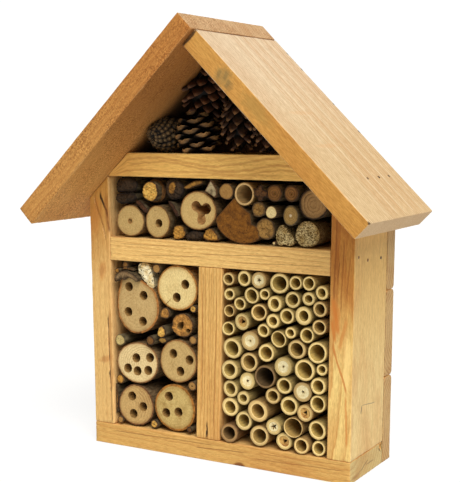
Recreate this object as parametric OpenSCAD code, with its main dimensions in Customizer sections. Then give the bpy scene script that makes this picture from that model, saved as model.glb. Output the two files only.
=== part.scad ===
// Nailed softwood insect hotel with a pitched roof, three filled bays
// (drilled logs, bamboo canes, sticks and bark) and pine cones in the gable.
// Units are millimetres. X runs left to right, Y front to back, Z up.
// The origin is on the underside of the base board, in the middle of the body.

/* [Body frame] */
// Width of the body over the side boards
body_w = 240; // [236:1:250]
// Depth of the side boards, shelves and base board
side_d = 65.5; // [64:0.5:80]
// Thickness of the side boards
side_t = 20; // [18:0.5:20]
// Thickness of the base board
base_t = 18; // [16:0.5:18]
// How far the left side board leans out over its height
left_lean = 3.5; // [0:0.25:4]
// How far the right side board leans out over its height
right_lean = 2.25; // [0:0.25:4]
// Height of the roof's underside above the outer edge of the base
eave_z = 215.5; // [214:0.5:218]
// Underside of the lower shelf above the ground
lower_shelf_z = 160; // [160:0.5:162]
// Thickness of both shelves
shelf_t = 20; // [18:0.5:20]
// Underside of the upper shelf above the ground
upper_shelf_z = 231; // [231:0.5:233]

/* [Divider] */
// Thickness of the upright divider
divider_t = 22; // [18:0.5:22]
// Left face of the divider at its foot, from the middle of the body
divider_x = -18; // [-18:0.5:-17]
// How far the top of the divider leans to the right of its foot
divider_lean = 3; // [2:0.5:3]

/* [Roof] */
// Pitch of both roof boards in degrees
pitch = 44.5; // [44.5:0.25:45.5]
// Thickness of the left roof board
roof_left_t = 17.5; // [12:0.5:20]
// Thickness of the right roof board
roof_right_t = 16.5; // [12:0.5:20]
// Overhang of the left roof board in front of the body
roof_left_front = 53; // [30:1:70]
// Overhang of the right roof board in front of the body
roof_right_front = 47.5; // [30:0.5:70]
// Slope length of the left board from the inner apex to its eave
roof_left_run = 201; // [190:1:215]
// Slope length of the right board from the inner apex to its eave
roof_right_run = 198.5; // [190:0.5:215]

/* [Back boards] */
// Thickness of the back boards
back_t = 16.5; // [12:0.5:20]
// Height covered by each back board
back_cover = 71; // [69:0.5:72]
// Chamfer along the long edges of the back boards
back_v = 2.5; // [1:0.25:4]
// Diameter of the hanging hole in the back
hang_d = 8; // [6:0.5:10]

/* [Nails] */
// Diameter of the nail shanks
nail_d = 1.6; // [1.4:0.1:2]
// Diameter of the nail heads
nail_head_d = 2.4; // [2.2:0.1:3]
// Length of the nails
nail_l = 32; // [30:1:36]

/* [Filling] */
// Diameter of the holes drilled in the logs
bee_d = 8; // [6:0.5:8]
// Depth of the holes drilled in the logs
bee_depth = 42; // [25:1:45]
// Gap kept between neighbouring canes
cane_gap = 0.3; // [0.2:0.1:1]

/* [Hidden] */
$fn = 48;

half_w = body_w / 2;
inner_half = half_w - side_t;               // middle of the body to a side board's inner face
side_mid = half_w - side_t / 2;             // middle of the body to a side board's middle
front_y = -(side_d + back_t) / 2;           // front face of the body
back_y = front_y + side_d;                  // front face of the back boards
rear_y = back_y + back_t;                   // rear face of the back boards
apex_z = eave_z + half_w * tan(pitch);      // inner apex of the roof
over = 1;                                   // how far a cutter runs past a face
nail_gap = 0.05;                            // clearance round every nail
nail_head_t = 1.2;
hang_z = 3.5 * back_cover + 22;             // height of the hanging hole
rear_gap = 0.3;                             // left between the filling and the back boards
chunk_depth = 50;                           // usual length of the loose pieces
lower_recess = 3.5;                         // set-back of the logs in the lower left bay
middle_recess = 3;                          // set-back of the logs in the middle bay

PINE = "#d8a566";
PINE_ROOF = "#ecc795";
STEEL = "#8c8780";
BARK = "#7a5636";
LOG = "#d0a468";
CANE = "#d9b779";
CONE = "#5a3524";

// ---- helpers ----------------------------------------------------------

// Half width of the clear space under the roof at height z
function roof_half(z) = (apex_z - z) / tan(pitch);

// Side boards: side is -1 for left and 1 for right throughout
function lean_slope(side) = (side < 0 ? left_lean : right_lean) / (eave_z - base_t);
function leaning_x(side, foot, z) = side * (foot + lean_slope(side) * max(0, z - base_t));
function outer_x(side, z) = leaning_x(side, half_w, z);
function inner_x(side, z) = leaning_x(side, inner_half, z);

// [x, z] where a line that starts foot from the middle at base_t, leaning like
// that side board, meets the roof
function roof_meet(side, foot) =
  let (x = (foot + lean_slope(side) * (apex_z - base_t)) / (1 + lean_slope(side) * tan(pitch)))
  [side * x, apex_z - x * tan(pitch)];

// Right face of the divider at height z
function divider_right(z) =
  divider_x + divider_t + divider_lean * (z - base_t) / (lower_shelf_z - base_t);

// Length of a filling piece that reaches almost to the back boards
function fill_depth(recess) = side_d - recess - rear_gap;

// A plate drawn in X-Z and extruded towards the back from y
module plate(y, depth)
  translate([0, y + depth, 0]) rotate([90, 0, 0]) linear_extrude(height = depth) children();

// A rod that runs towards the back from y
module rod(x, z, r, y, depth)
  translate([x, y, z]) rotate([-90, 0, 0]) cylinder(r = r, h = depth);

// A full-length round stick
module stick(x, z, r, recess) rod(x, z, r, front_y + recess, fill_depth(recess));

// A blind hole from the front face of a piece that stands back by recess
module pocket(x, z, r, recess, depth) rod(x, z, r, front_y + recess - over, depth + over);

// Nest holes at a list of [x, z]
module bee_holes(places, recess, d = bee_d, depth = bee_depth)
  for (p = places) pocket(p[0], p[1], d / 2, recess, depth);

// A piece with an X-Z outline
module chunk(outline, recess, depth = chunk_depth)
  plate(front_y + recess, depth) polygon(outline);

// An oval of [width, height] whose radius ripples three times round
function oval(size, ripple, phase, count = 28) =
  [for (i = [0:count - 1]) let (
      angle = 360 * i / count,
      swell = 1 - ripple + ripple * cos(3 * angle + phase))
    [size[0] / 2 * swell * cos(angle), size[1] / 2 * swell * sin(angle)]];

// A full-length log of oval section centred on [x, z]
module log_piece(centre, size, recess, phase, ripple = 0.01)
  plate(front_y + recess, fill_depth(recess)) translate(centre)
    polygon(oval(size, ripple, phase));

// ---- nails ------------------------------------------------------------
// Each set draws the nails, or with grow above 0 the clearance holes for them.

FROM_ABOVE = [0, 0, 0];
FROM_BELOW = [180, 0, 0];
FROM_REAR = [-90, 0, 0];

// Distances behind the front face
roof_nail_rows = [16, 38, 58.5];
base_nail_rows = [12, 33, 54];
divider_foot_rows = [16, 48];
divider_top_rows = [24, 52];
roof_nail_x = side_mid + 3;                 // where a roof nail crosses the roof's underside
ridge_nail_inset = 20;                      // end ridge nails from the ends of the right board

// Shelf nails: distance behind the front face, height above the shelf's underside
SHELF_NAILS = [[7.6, 15], [25.4, 11], [52, 10]];
shelf_nail_level = 11;                      // height at which their heads meet the side face

// Nails in the back boards
back_side_heights = [40, 56, 87, 125, 160, 196];
back_base_x = [-60, 0, 60];
back_shelf_x = [-55, 0, 55];

// A nail along the turned Z axis, its head flush with the surface at place
module nail(place, turn, grow)
  translate(place) rotate(turn) {
    translate([0, 0, -nail_l])
      cylinder(d = nail_d + 2 * grow, h = nail_l, $fn = 24);
    translate([0, 0, -nail_head_t - grow])
      cylinder(d = nail_head_d + 2 * grow, h = nail_head_t + (grow > 0 ? over : 0), $fn = 24);
  }

// Through the roof boards into the side boards
module roof_nail_set(grow = 0)
  for (side = [-1, 1], row = roof_nail_rows) {
    board_t = side < 0 ? roof_left_t : roof_right_t;
    nail([side * (roof_nail_x + board_t * sin(pitch)), front_y + row,
          apex_z - roof_nail_x * tan(pitch) + board_t * cos(pitch)], [0, side * pitch, 0], grow);
  }

// Through the left roof board into the top end of the right one
module ridge_nail_set(grow = 0)
  for (y = [front_y - roof_right_front + ridge_nail_inset, front_y, rear_y - ridge_nail_inset])
    nail([roof_right_t / 2 * cos(pitch) - roof_left_t * sin(pitch), y,
          apex_z + roof_right_t / 2 * sin(pitch) + roof_left_t * cos(pitch)],
         [0, -pitch, 0], grow);

module base_nail_set(grow = 0)
  for (side = [-1, 1], row = base_nail_rows)
    nail([side * side_mid, front_y + row, 0], FROM_BELOW, grow);

module shelf_nail_set(grow = 0)
  for (side = [-1, 1], place = SHELF_NAILS)
    nail([outer_x(side, lower_shelf_z + shelf_nail_level), front_y + place[0],
          lower_shelf_z + place[1]], [0, side * 90, 0], grow);

module divider_nail_set(grow = 0) {
  foot_x = divider_x + divider_t / 2;
  for (row = divider_foot_rows) nail([foot_x, front_y + row, 0], FROM_BELOW, grow);
  for (row = divider_top_rows)
    nail([foot_x + divider_lean, front_y + row, lower_shelf_z + shelf_t], FROM_ABOVE, grow);
}

module back_nail_set(grow = 0) {
  for (side = [-1, 1], z = back_side_heights) nail([side * side_mid, rear_y, z], FROM_REAR, grow);
  for (x = back_base_x) nail([x, rear_y, base_t / 2], FROM_REAR, grow);
  for (x = back_shelf_x) nail([x, rear_y, upper_shelf_z + shelf_t / 2], FROM_REAR, grow);
}

module roof_nails() color(STEEL) roof_nail_set();
module ridge_nails() color(STEEL) ridge_nail_set();
module base_nails() color(STEEL) base_nail_set();
module shelf_nails() color(STEEL) shelf_nail_set();
module divider_nails() color(STEEL) divider_nail_set();
module back_nails() color(STEEL) back_nail_set();

// ---- frame ------------------------------------------------------------

module base_board() color(PINE)
  difference() {
    translate([-half_w, front_y, 0]) cube([body_w, side_d, base_t]);
    base_nail_set(nail_gap);
    divider_nail_set(nail_gap);
    back_nail_set(nail_gap);
  }

// A side board stands on the base and its top is cut to the roof
module side_board(side)
  difference() {
    plate(front_y, side_d) polygon([
      [outer_x(side, base_t), base_t], [inner_x(side, base_t), base_t],
      roof_meet(side, inner_half), roof_meet(side, half_w)]);
    roof_nail_set(nail_gap);
    base_nail_set(nail_gap);
    shelf_nail_set(nail_gap);
    back_nail_set(nail_gap);
  }
module left_side_board() color(PINE) side_board(-1);
module right_side_board() color(PINE) side_board(1);

// The lower shelf's ends follow the leaning side boards
module lower_shelf() color(PINE)
  difference() {
    plate(front_y, side_d) polygon([
      for (corner = [[-1, 0], [1, 0], [1, shelf_t], [-1, shelf_t]])
        let (z = lower_shelf_z + corner[1]) [inner_x(corner[0], z), z]]);
    shelf_nail_set(nail_gap);
    divider_nail_set(nail_gap);
  }

// The upper shelf fits between the side boards and its ends follow the roof
module upper_shelf() color(PINE) {
  top_z = upper_shelf_z + shelf_t;
  difference() {
    plate(front_y, side_d) polygon([
      [inner_x(-1, upper_shelf_z), upper_shelf_z], [inner_x(1, upper_shelf_z), upper_shelf_z],
      roof_meet(1, inner_half), [roof_half(top_z), top_z],
      [-roof_half(top_z), top_z], roof_meet(-1, inner_half)]);
    back_nail_set(nail_gap);
  }
}

module divider_board() color(PINE)
  difference() {
    plate(front_y, side_d) polygon([
      [divider_x, base_t], [divider_x + divider_t, base_t],
      [divider_x + divider_lean + divider_t, lower_shelf_z],
      [divider_x + divider_lean, lower_shelf_z]]);
    divider_nail_set(nail_gap);
  }

// ---- roof -------------------------------------------------------------

// A board turned by angle about the inner apex, spanning start to end along its slope
module roof_board(angle, start, end, front, thickness)
  difference() {
    translate([0, front_y - front, apex_z]) rotate([0, angle, 0])
      translate([start, 0, 0]) cube([end - start, front + side_d + back_t, thickness]);
    roof_nail_set(nail_gap);
    ridge_nail_set(nail_gap);
  }

// The left board runs past the apex and covers the top end of the right board
roof_lap = roof_right_t / sin(2 * pitch);
module left_roof_board() color(PINE_ROOF)
  roof_board(-pitch, start = -roof_left_run, end = roof_lap,
             front = roof_left_front, thickness = roof_left_t);

// The right board starts where its square end clears the left board
roof_butt = roof_right_t / tan(2 * pitch);
module right_roof_board() color(PINE_ROOF)
  roof_board(pitch, start = roof_butt, end = roof_right_run,
             front = roof_right_front, thickness = roof_right_t);

// ---- back -------------------------------------------------------------

// Cladding board i, counted from 0 at the bottom, with chamfered edges and cut
// to the body and roof. The bottom board has no chamfer on its lower front edge.
module back_board(i) color(PINE) {
  low = i * back_cover;
  high = (i + 1) * back_cover;
  low_v = i > 0 ? back_v : 0;
  side_spare = 5;
  difference() {
    intersection() {
      translate([-half_w - side_spare, 0, 0]) rotate([90, 0, 90])
        linear_extrude(height = body_w + 2 * side_spare)
          polygon([
            [back_y, low + low_v], [back_y + low_v, low],
            [rear_y - back_v, low], [rear_y, low + back_v],
            [rear_y, high - back_v], [rear_y - back_v, high],
            [back_y + back_v, high], [back_y, high - back_v]]);
      plate(back_y - over, back_t + 2 * over) polygon([
        [-half_w, -over], [half_w, -over], [half_w, base_t], roof_meet(1, half_w),
        [0, apex_z], roof_meet(-1, half_w), [-half_w, base_t]]);
    }
    back_nail_set(nail_gap);
    rod(0, hang_z, hang_d / 2, back_y - over, back_t + 2 * over);
  }
}
module back_board_bottom() back_board(0);
module back_board_lower() back_board(1);
module back_board_middle() back_board(2);
module back_board_gable() back_board(3);
module back_board_peak() back_board(4);

// ---- lower left bay: drilled logs --------------------------------------

// The four-hole log has a lobe at its upper end
module four_hole_log() color(LOG)
  difference() {
    union() {
      log_piece([-77.5, 117.5], [43, 40], lower_recess, phase = 40);
      chunk(recess = lower_recess, depth = fill_depth(lower_recess), outline = [
        [-93, 150], [-80.5, 150.5], [-76, 141], [-66, 132], [-77, 118], [-94, 124],
        [-95.5, 138]]);
    }
    bee_holes([[-85.5, 138], [-71, 131.5], [-86.5, 116.5], [-72, 109.5]], lower_recess);
  }

module two_hole_log() color(LOG)
  difference() {
    log_piece([-37.5, 140.3], [39.5, 37], lower_recess, phase = 120);
    bee_holes([[-29.5, 144], [-38, 132.5]], lower_recess);
  }

module five_hole_log() color(LOG)
  difference() {
    log_piece([-77.5, 73.5], [40.5, 34.5], lower_recess, phase = 200);
    bee_holes([[-79, 77.5], [-65.5, 79], [-87, 68], [-77.5, 66.5], [-67, 68]], lower_recess);
  }

module upper_three_hole_log() color(LOG)
  difference() {
    log_piece([-37, 79], [37, 35.5], lower_recess, phase = 20);
    bee_holes([[-42, 85], [-25.5, 81.5], [-34.5, 71]], lower_recess);
  }

module left_three_hole_log() color(LOG)
  difference() {
    log_piece([-79.5, 36.6], [34.5, 35], lower_recess, phase = 90);
    bee_holes([[-83.5, 44], [-72.5, 36], [-82, 29]], lower_recess);
  }

module right_three_hole_log() color(LOG)
  difference() {
    log_piece([-40.5, 39.3], [39, 40], lower_recess, phase = 150);
    bee_holes([[-46, 48.5], [-49, 34], [-37, 36]], lower_recess);
  }

// Thin twigs in the gaps between the logs: x, z, diameter
TWIGS = [
  [-96.8, 151, 4.6], [-89, 156.4, 6], [-97.4, 143.6, 3.8], [-57, 155.3, 7.6],
  [-22, 124.2, 6.4], [-21, 98.8, 7], [-94.6, 91.6, 9.6], [-95.5, 57.4, 8],
  [-22, 60.4, 7.6], [-95, 22.2, 6], [-60.8, 22.6, 7.4], [-63, 94.2, 8], [-25.6, 22.8, 5]];
module lower_bay_twigs() color(BARK)
  for (twig = TWIGS) stick(twig[0], twig[1], twig[2] / 2, recess = 2.5);

module lichen_lump() color("#c9c19b")
  chunk(recess = 3, depth = 40, outline = [
    [-76, 158.6], [-65, 159.2], [-62.4, 151], [-61.5, 141], [-66, 137], [-70.5, 142.5],
    [-77.4, 152]]);

// One chunk among the logs and one against the left side board
module bark_chunks() color(BARK) {
  chunk(recess = 4, depth = 45, outline = [
    [-56, 115], [-53, 122], [-46.5, 123], [-44.8, 117], [-48, 113.4]]);
  chunk(recess = 4, depth = 55, outline = [
    [-99.8, 27], [-99.8, 53], [-98.1, 51], [-97.4, 37], [-98.2, 28]]);
}

module split_branch() color("#8d7352")
  chunk(recess = 5, depth = fill_depth(5), outline = [
    [-44, 108], [-41, 116.5], [-33, 119.6], [-25.5, 117], [-22.4, 109.5], [-26, 102],
    [-32, 99.6], [-40.5, 101.5]]);

// A round stick merged with an angular stub above it
module yellow_stick_stub() color("#d8b25c")
  union() {
    stick(-52.4, 96.6, r = 3.3, recess = 3);
    chunk(recess = 4, depth = fill_depth(4), outline = [
      [-58, 100], [-56, 107], [-49.6, 106], [-48.6, 100.4], [-50, 96], [-54, 96]]);
  }

// ---- lower right bay: bamboo canes ------------------------------------

// Kinds of cane
OPEN = 0;
PITH = 1;                                   // pith left in
PLUGGED = 2;                                // closed by a node

// x, z, outer diameter, bore and kind
CANES = [
  [12.5, 151.7, 13, 7.5, 0], [26.4, 153, 12.8, 8.3, 0], [40.5, 152.7, 13.2, 3.5, 1],
  [57.8, 151.3, 16.6, 12, 0], [72.2, 152.8, 12, 8, 0], [83.8, 153.3, 12, 8, 0],
  [94, 146.6, 11.2, 7, 0], [14, 139.7, 10.8, 6.5, 0], [33.5, 140, 14.4, 10, 0],
  [45, 141.8, 10, 6, 0], [54.6, 135.2, 12.6, 8, 0], [69.2, 139.2, 13.4, 9.3, 0],
  [83.6, 141.4, 10.8, 6.5, 0], [93, 134, 12.4, 8.5, 0], [22.5, 132.4, 12.8, 7.5, 0],
  [13.8, 126.3, 11.8, 7.8, 0], [39.8, 126.9, 14.2, 10.6, 0], [64.8, 126.2, 12.8, 8.8, 0],
  [79.4, 127.8, 14.6, 8.5, 0], [24.4, 118, 13.8, 6, 2], [53, 121.4, 12, 7, 0],
  [92.4, 119.9, 13.4, 8.8, 0], [12, 111.5, 13.8, 8.5, 0], [44.8, 113.2, 11.2, 7.5, 0],
  [67.6, 113.2, 11.4, 6, 0], [82.3, 112.8, 13.6, 9, 0], [32.4, 103.6, 15.6, 3, 1],
  [57.2, 107.2, 16.2, 11.5, 0], [16.7, 96.2, 17, 12, 0], [73.3, 100.7, 15.8, 10.8, 0],
  [90.9, 100, 16.8, 13, 0], [47.2, 95.6, 15.6, 10.5, 0], [30.8, 86, 16.2, 11, 0],
  [62, 86, 15.2, 3, 1], [80.4, 85.2, 17.4, 13.2, 0], [94.7, 87, 9.6, 6, 0],
  [14.3, 78.4, 16, 10.6, 0], [29.3, 70.5, 14, 3, 1], [45.8, 76, 18.6, 15.4, 0],
  [63.1, 71, 13.4, 9.2, 0], [78.3, 67.5, 15.6, 3, 1], [92.4, 74.2, 13.2, 9.3, 0],
  [14.2, 62.6, 14.4, 9.5, 0], [26, 56.3, 11.8, 6.8, 0], [53.2, 61.7, 13.2, 8.8, 0],
  [66.6, 55, 15.8, 11, 0], [92, 60, 14.6, 10.4, 0], [81, 51.3, 14.4, 5, 2],
  [13.6, 47.5, 15.8, 10.2, 0], [40, 48, 19.2, 11.6, 0], [26.3, 37.7, 16, 10.2, 0],
  [53.4, 36.6, 15.4, 5, 1], [71.2, 38.7, 18.2, 14.6, 0], [91, 38.8, 16.2, 11.4, 0],
  [13.6, 26.3, 16.4, 11, 0], [40.8, 27.6, 18.8, 11.8, 0], [62.4, 26, 15.6, 5, 2],
  [78.6, 25.3, 14.2, 9.3, 0], [92.4, 24.6, 12.8, 8.8, 0]];

medium_bore = 8;                            // smallest bore of the medium canes
wide_bore = 10.5;                           // smallest bore of the wide canes
any_bore = 99;                              // above every bore
cane_wall = 0.8;                            // thinnest wall
open_end = 7;                               // from the end of an open bore to the back boards

// Each cane is trimmed so that it clears its neighbours and the boards
function wall_r(x, z) =
  min(inner_half - x, z - base_t, lower_shelf_z - z, x - divider_right(z)) - cane_gap / 2;
function near_r(i) = min([
  for (j = [0:len(CANES) - 1]) if (j != i)
    let (a = CANES[i], b = CANES[j])
    norm([a[0] - b[0], a[1] - b[1]]) * a[2] / (a[2] + b[2]) - cane_gap / 2]);
function cane_r(i) = min(CANES[i][2] / 2, wall_r(CANES[i][0], CANES[i][1]), near_r(i));

// The front ends stand at slightly different depths
function cane_recess(i) = 1.2 + 1.1 * sin(i * 137.5);

module cane(i) {
  x = CANES[i][0];
  z = CANES[i][1];
  kind = CANES[i][4];
  r = cane_r(i);
  recess = cane_recess(i);
  bore_r = min(CANES[i][3] / 2, r - cane_wall);
  difference() {
    stick(x, z, r, recess);
    if (kind == OPEN) pocket(x, z, bore_r, recess, depth = side_d - open_end - recess);
    // The other kinds have a shallow hollow inside the rim and a blind bore
    if (kind == PITH) {
      pocket(x, z, r - 1.6, recess, depth = 0.8);
      pocket(x, z, bore_r, recess, depth = 11);
    }
    if (kind == PLUGGED) {
      pocket(x, z, r - 1.4, recess, depth = 1.5);
      pocket(x, z, bore_r, recess, depth = 29);
    }
  }
}

// The canes of one kind with a bore from low up to, but not including, high
module canes(kind, low = 0, high = any_bore) color(CANE)
  for (i = [0:len(CANES) - 1])
    if (CANES[i][4] == kind && CANES[i][3] >= low && CANES[i][3] < high) cane(i);
module wide_canes() canes(OPEN, low = wide_bore);
module medium_canes() canes(OPEN, low = medium_bore, high = wide_bore);
module narrow_canes() canes(OPEN, high = medium_bore);
module pith_canes() canes(PITH);
module plugged_canes() canes(PLUGGED);

// ---- middle bay --------------------------------------------------------

module left_pith_log() color(LOG)
  difference() {
    log_piece([-83.2, 194], [27.4, 26.2], middle_recess, phase = 60);
    rod(-83.2, 194, r = 2.4, y = front_y, depth = 5);
  }

module right_pith_log() color(LOG)
  difference() {
    log_piece([-56, 194.3], [24.4, 26.8], middle_recess, phase = 10);
    bee_holes([[-54.7, 193.2]], middle_recess, d = 7, depth = 30);
  }

// Three holes joined by a slightly shallower one between them
module trefoil_log() color(LOG)
  difference() {
    log_piece([-17, 205], [33.5, 31.5], middle_recess, phase = 80);
    bee_holes([[-18.7, 208.6], [-9.4, 206.9], [-13.9, 197.8]], middle_recess, d = 9);
    bee_holes([[-13.8, 204.8]], middle_recess, d = 8, depth = bee_depth - 1);
  }

// A branch with a thinner core standing out at the front
module yellow_end_branch() color(BARK)
  union() {
    log_piece([-62.6, 219], [21, 20.6], recess = 10, phase = 30, ripple = 0.02);
    log_piece([-62, 219], [15.5, 15], recess = 1.5, phase = 200, ripple = 0.02);
  }

module dark_branch() color("#4f3b2a")
  log_piece([-41, 221.6], [18, 17.6], recess = 4, phase = 100, ripple = 0.02);

module rotten_lumps() color("#4a3a2c") {
  chunk(recess = 5, outline = [
    [-99.6, 219], [-99, 228], [-93, 230.6], [-82, 229.8], [-78, 224], [-80.5, 218.6],
    [-90, 217.6]]);
  chunk(recess = 4, outline = [
    [-99.6, 209], [-99.4, 215.4], [-90, 216.6], [-81, 216.4], [-79, 212], [-84, 208.6],
    [-92, 208.4]]);
}

module bark_strips() color("#7c3f26") {
  chunk(recess = 3, outline = [[-78, 210.4], [-67.4, 201.2], [-65.8, 203], [-75.4, 212]]);
  chunk(recess = 3, outline = [[-45, 211.6], [-37.5, 199.6], [-35, 200.8], [-42.6, 211.8]]);
}

// Two splinters near the upper shelf, then three along the lower shelf
module wood_splinters() color("#cfa85c") {
  chunk(recess = 4, outline = [[-31.6, 223.4], [-30.8, 221.2], [-12.4, 227.2], [-13, 229.8]]);
  chunk(recess = 2, outline = [[-8.5, 221], [0, 216.2], [1.2, 221], [-4.5, 230.4]]);
  chunk(recess = 4, depth = 45, outline = [
    [-42, 184], [-41, 191], [-36, 192.4], [-31, 190.6], [-29.6, 184.4], [-34, 180.4],
    [-40, 180.4]]);
  chunk(recess = 5, depth = 45, outline = [
    [-28, 181], [-28.6, 186], [-22, 188.4], [-15, 187.6], [-12.8, 183], [-16, 180.4]]);
  chunk(recess = 3, outline = [
    [-11.6, 182], [-11, 188.6], [-5, 192], [-1, 188], [-1.6, 181]]);
}

module split_wedge() color("#a9773f")
  chunk(recess = 2.5, depth = fill_depth(2.5), outline = [
    [17, 216], [-1.6, 197.4], [3.7, 187.5], [15, 180.8], [28, 180.3], [38, 182.4],
    [34.6, 191.6], [30.2, 195], [30.4, 202.6], [24, 208]]);

module hollow_stem() color("#d8bd8c")
  difference() {
    stick(27, 219.9, r = 9.2, recess = 1.5);
    rod(27, 219.9, r = 7.3, y = front_y, depth = side_d - 8);
  }

module cross_piece() color("#8a4a2c")
  chunk(recess = 4, outline = [
    [39.6, 215.4], [42.4, 215.4], [43, 219.4], [45, 219.8], [45, 222.6], [42.8, 223],
    [42.4, 227], [39.6, 227], [39.2, 223], [36.8, 222.6], [36.8, 219.8], [39.2, 219.4]]);

// Round sticks: x, z, diameter, recess
STICKS = [
  [9.8, 221.4, 13, 2], [52.5, 221.4, 13.8, 2.5], [67, 221.4, 12.8, 3],
  [39.3, 208.2, 11.8, 1.5], [51.4, 206.6, 10, 1], [44.8, 193.2, 16.8, 2.5],
  [53.4, 182.4, 3, 0.5]];
module round_sticks() color(BARK)
  for (s = STICKS) stick(s[0], s[1], s[2] / 2, s[3]);

module oval_stick() color("#b58a54")
  log_piece([67, 204.5], [13, 15.6], recess = 2, phase = 0);

module corner_log() color("#8d7a5e")
  log_piece([85.6, 214], [24, 23.6], recess = 4, phase = 50);

// An angular block and a rounded one to its right
module lichen_blocks() color("#b9b196") {
  chunk(recess = 3, depth = fill_depth(3), outline = [
    [54.4, 184], [55, 192], [59, 195.6], [65.4, 195], [69.6, 190], [69.4, 183.6],
    [65, 180.6], [57, 180.6]]);
  log_piece([81, 190.6], [19.6, 19.4], recess = 3, phase = 70, ripple = 0.03);
}

// ---- gable: pine cones --------------------------------------------------

tip_r = 1.2;                                // least radius at the edge of a row of scales

// Radius of a cone's envelope at fraction t of its length
function cone_r(r, t) = r * pow(sin(180 * (0.04 + 0.90 * t)), 0.7);

// Half outline of a cone along its axis, with a tooth for each row of scales.
// notch is the fraction cut in at the foot of a tooth, gap the part of a row left open.
function cone_outline(r, length, rows, notch, gap) = concat(
  [[0, 0]],
  [for (i = [0:rows - 1])
    let (foot = (i + 0.15) / rows, edge = (i + 1) / rows)
    each [[cone_r(r, foot) * (1 - notch), length * foot],
          [max(cone_r(r, edge), tip_r), length * (edge - gap)]]],
  [[0, length]]);

// A cone lying with its axis front to back
module cone(x, z, recess, r, length, rows = 8, notch = 0.3, gap = 0.04)
  translate([x, front_y + recess, z]) rotate([-90, 0, 0])
    rotate_extrude() polygon(cone_outline(r, length, rows, notch, gap));

module closed_cone() color("#6b5c47")
  cone(-48, 265.4, recess = 1, r = 14, length = 44, rows = 9, notch = 0.06, gap = 0.02);
module lying_cone() color(CONE) cone(-19.5, 265.2, recess = 4, r = 13.8, length = 46);
module upper_cone() color(CONE) cone(-4, 299, recess = 4, r = 18, length = 50, rows = 9);
module right_cone() color(CONE) cone(13.3, 266.6, recess = 4, r = 15, length = 48);
module corner_cone() color(CONE) cone(41.4, 264, recess = 5, r = 12.2, length = 46);

// ---- assembly -----------------------------------------------------------

base_board();
left_side_board();
right_side_board();
lower_shelf();
upper_shelf();
divider_board();
left_roof_board();
right_roof_board();
back_board_bottom();
back_board_lower();
back_board_middle();
back_board_gable();
back_board_peak();
roof_nails();
ridge_nails();
base_nails();
shelf_nails();
divider_nails();
back_nails();
four_hole_log();
two_hole_log();
five_hole_log();
upper_three_hole_log();
left_three_hole_log();
right_three_hole_log();
lower_bay_twigs();
lichen_lump();
bark_chunks();
split_branch();
yellow_stick_stub();
wide_canes();
medium_canes();
narrow_canes();
pith_canes();
plugged_canes();
left_pith_log();
right_pith_log();
trefoil_log();
yellow_end_branch();
dark_branch();
rotten_lumps();
bark_strips();
wood_splinters();
split_wedge();
hollow_stem();
cross_piece();
round_sticks();
oval_stick();
corner_log();
lichen_blocks();
closed_cone();
lying_cone();
upper_cone();
right_cone();
corner_cone();
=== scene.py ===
"""A gabled insect house: pine boards filled with drilled logs, canes, sticks and pine cones.

The front faces -Y, +X is to the right as seen from the front, and the floor is just under z = 0.
Shapes are worked out in millimetres. Shaders read positions and lengths in metres.
"""
import bpy
import bmesh
import math
import numpy as np
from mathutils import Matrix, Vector, geometry


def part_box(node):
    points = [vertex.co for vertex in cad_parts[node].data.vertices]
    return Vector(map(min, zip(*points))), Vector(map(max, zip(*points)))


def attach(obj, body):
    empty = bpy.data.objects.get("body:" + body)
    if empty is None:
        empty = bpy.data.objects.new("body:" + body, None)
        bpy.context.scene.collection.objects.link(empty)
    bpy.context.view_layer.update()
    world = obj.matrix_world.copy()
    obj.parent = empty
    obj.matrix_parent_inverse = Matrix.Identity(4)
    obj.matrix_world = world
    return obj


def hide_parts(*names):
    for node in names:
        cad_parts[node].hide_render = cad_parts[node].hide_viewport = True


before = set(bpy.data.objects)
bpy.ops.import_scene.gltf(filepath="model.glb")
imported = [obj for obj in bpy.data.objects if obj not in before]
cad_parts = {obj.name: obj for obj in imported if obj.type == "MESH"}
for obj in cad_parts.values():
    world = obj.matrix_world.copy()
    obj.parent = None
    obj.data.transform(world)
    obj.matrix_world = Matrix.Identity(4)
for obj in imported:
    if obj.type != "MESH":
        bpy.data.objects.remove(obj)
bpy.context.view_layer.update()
MM = 0.001


def node_box(node):
    """Low and high corners of a CAD node, in millimetres."""
    low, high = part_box(node)
    return np.array(low) / MM, np.array(high) / MM


# ------------------------------------------------------------------ driving sizes, millimetres
ROOF_PITCH = math.radians(44.5)
ROOF_SIN, ROOF_COS, ROOF_TAN = math.sin(ROOF_PITCH), math.cos(ROOF_PITCH), math.tan(ROOF_PITCH)
BASE_LOW, BASE_HIGH = node_box("base_board")
FRONT_Y, BACK_Y = BASE_LOW[1], BASE_HIGH[1]  # front and back edges of the house
HALF_WIDTH = BASE_HIGH[0]
BASE_TOP = BASE_HIGH[2]
REAR_Y = node_box("back_board_lower")[1][1]  # rear face of the back boards
DEPTH = BACK_Y - FRONT_Y
EAVE_Z = 215.5
APEX_Z = EAVE_Z + HALF_WIDTH * ROOF_TAN
BOARD_THICK = 20
INNER_HALF = HALF_WIDTH - BOARD_THICK
GABLE_FLOOR_Z = 251  # top of the upper shelf
EDGE_RADIUS = 0.8  # rounding of every board edge
FILL_BACK_Y = BACK_Y - 0.4  # rear end of full-depth filling
# outward lean of each side wall, per mm of height
LEAN = {-1: 3.5 / (EAVE_Z - BASE_TOP), 1: 2.25 / (EAVE_Z - BASE_TOP)}
FRONT, RIGHT = (0, -1, 0), (1, 0, 0)  # face directions


# ------------------------------------------------------------------ numbers
def columns(*parts):
    """Stacks arrays or numbers side by side as the columns of one table."""
    return np.stack(np.broadcast_arrays(*[np.asarray(part, float) for part in parts]), -1)


def layer(points, level):
    """Adds a constant third column to an N x 2 array."""
    return columns(points[:, 0], points[:, 1], level)


def smoothstep(value):
    value = np.clip(value, 0, 1)
    return value * value * (3 - 2 * value)


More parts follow.
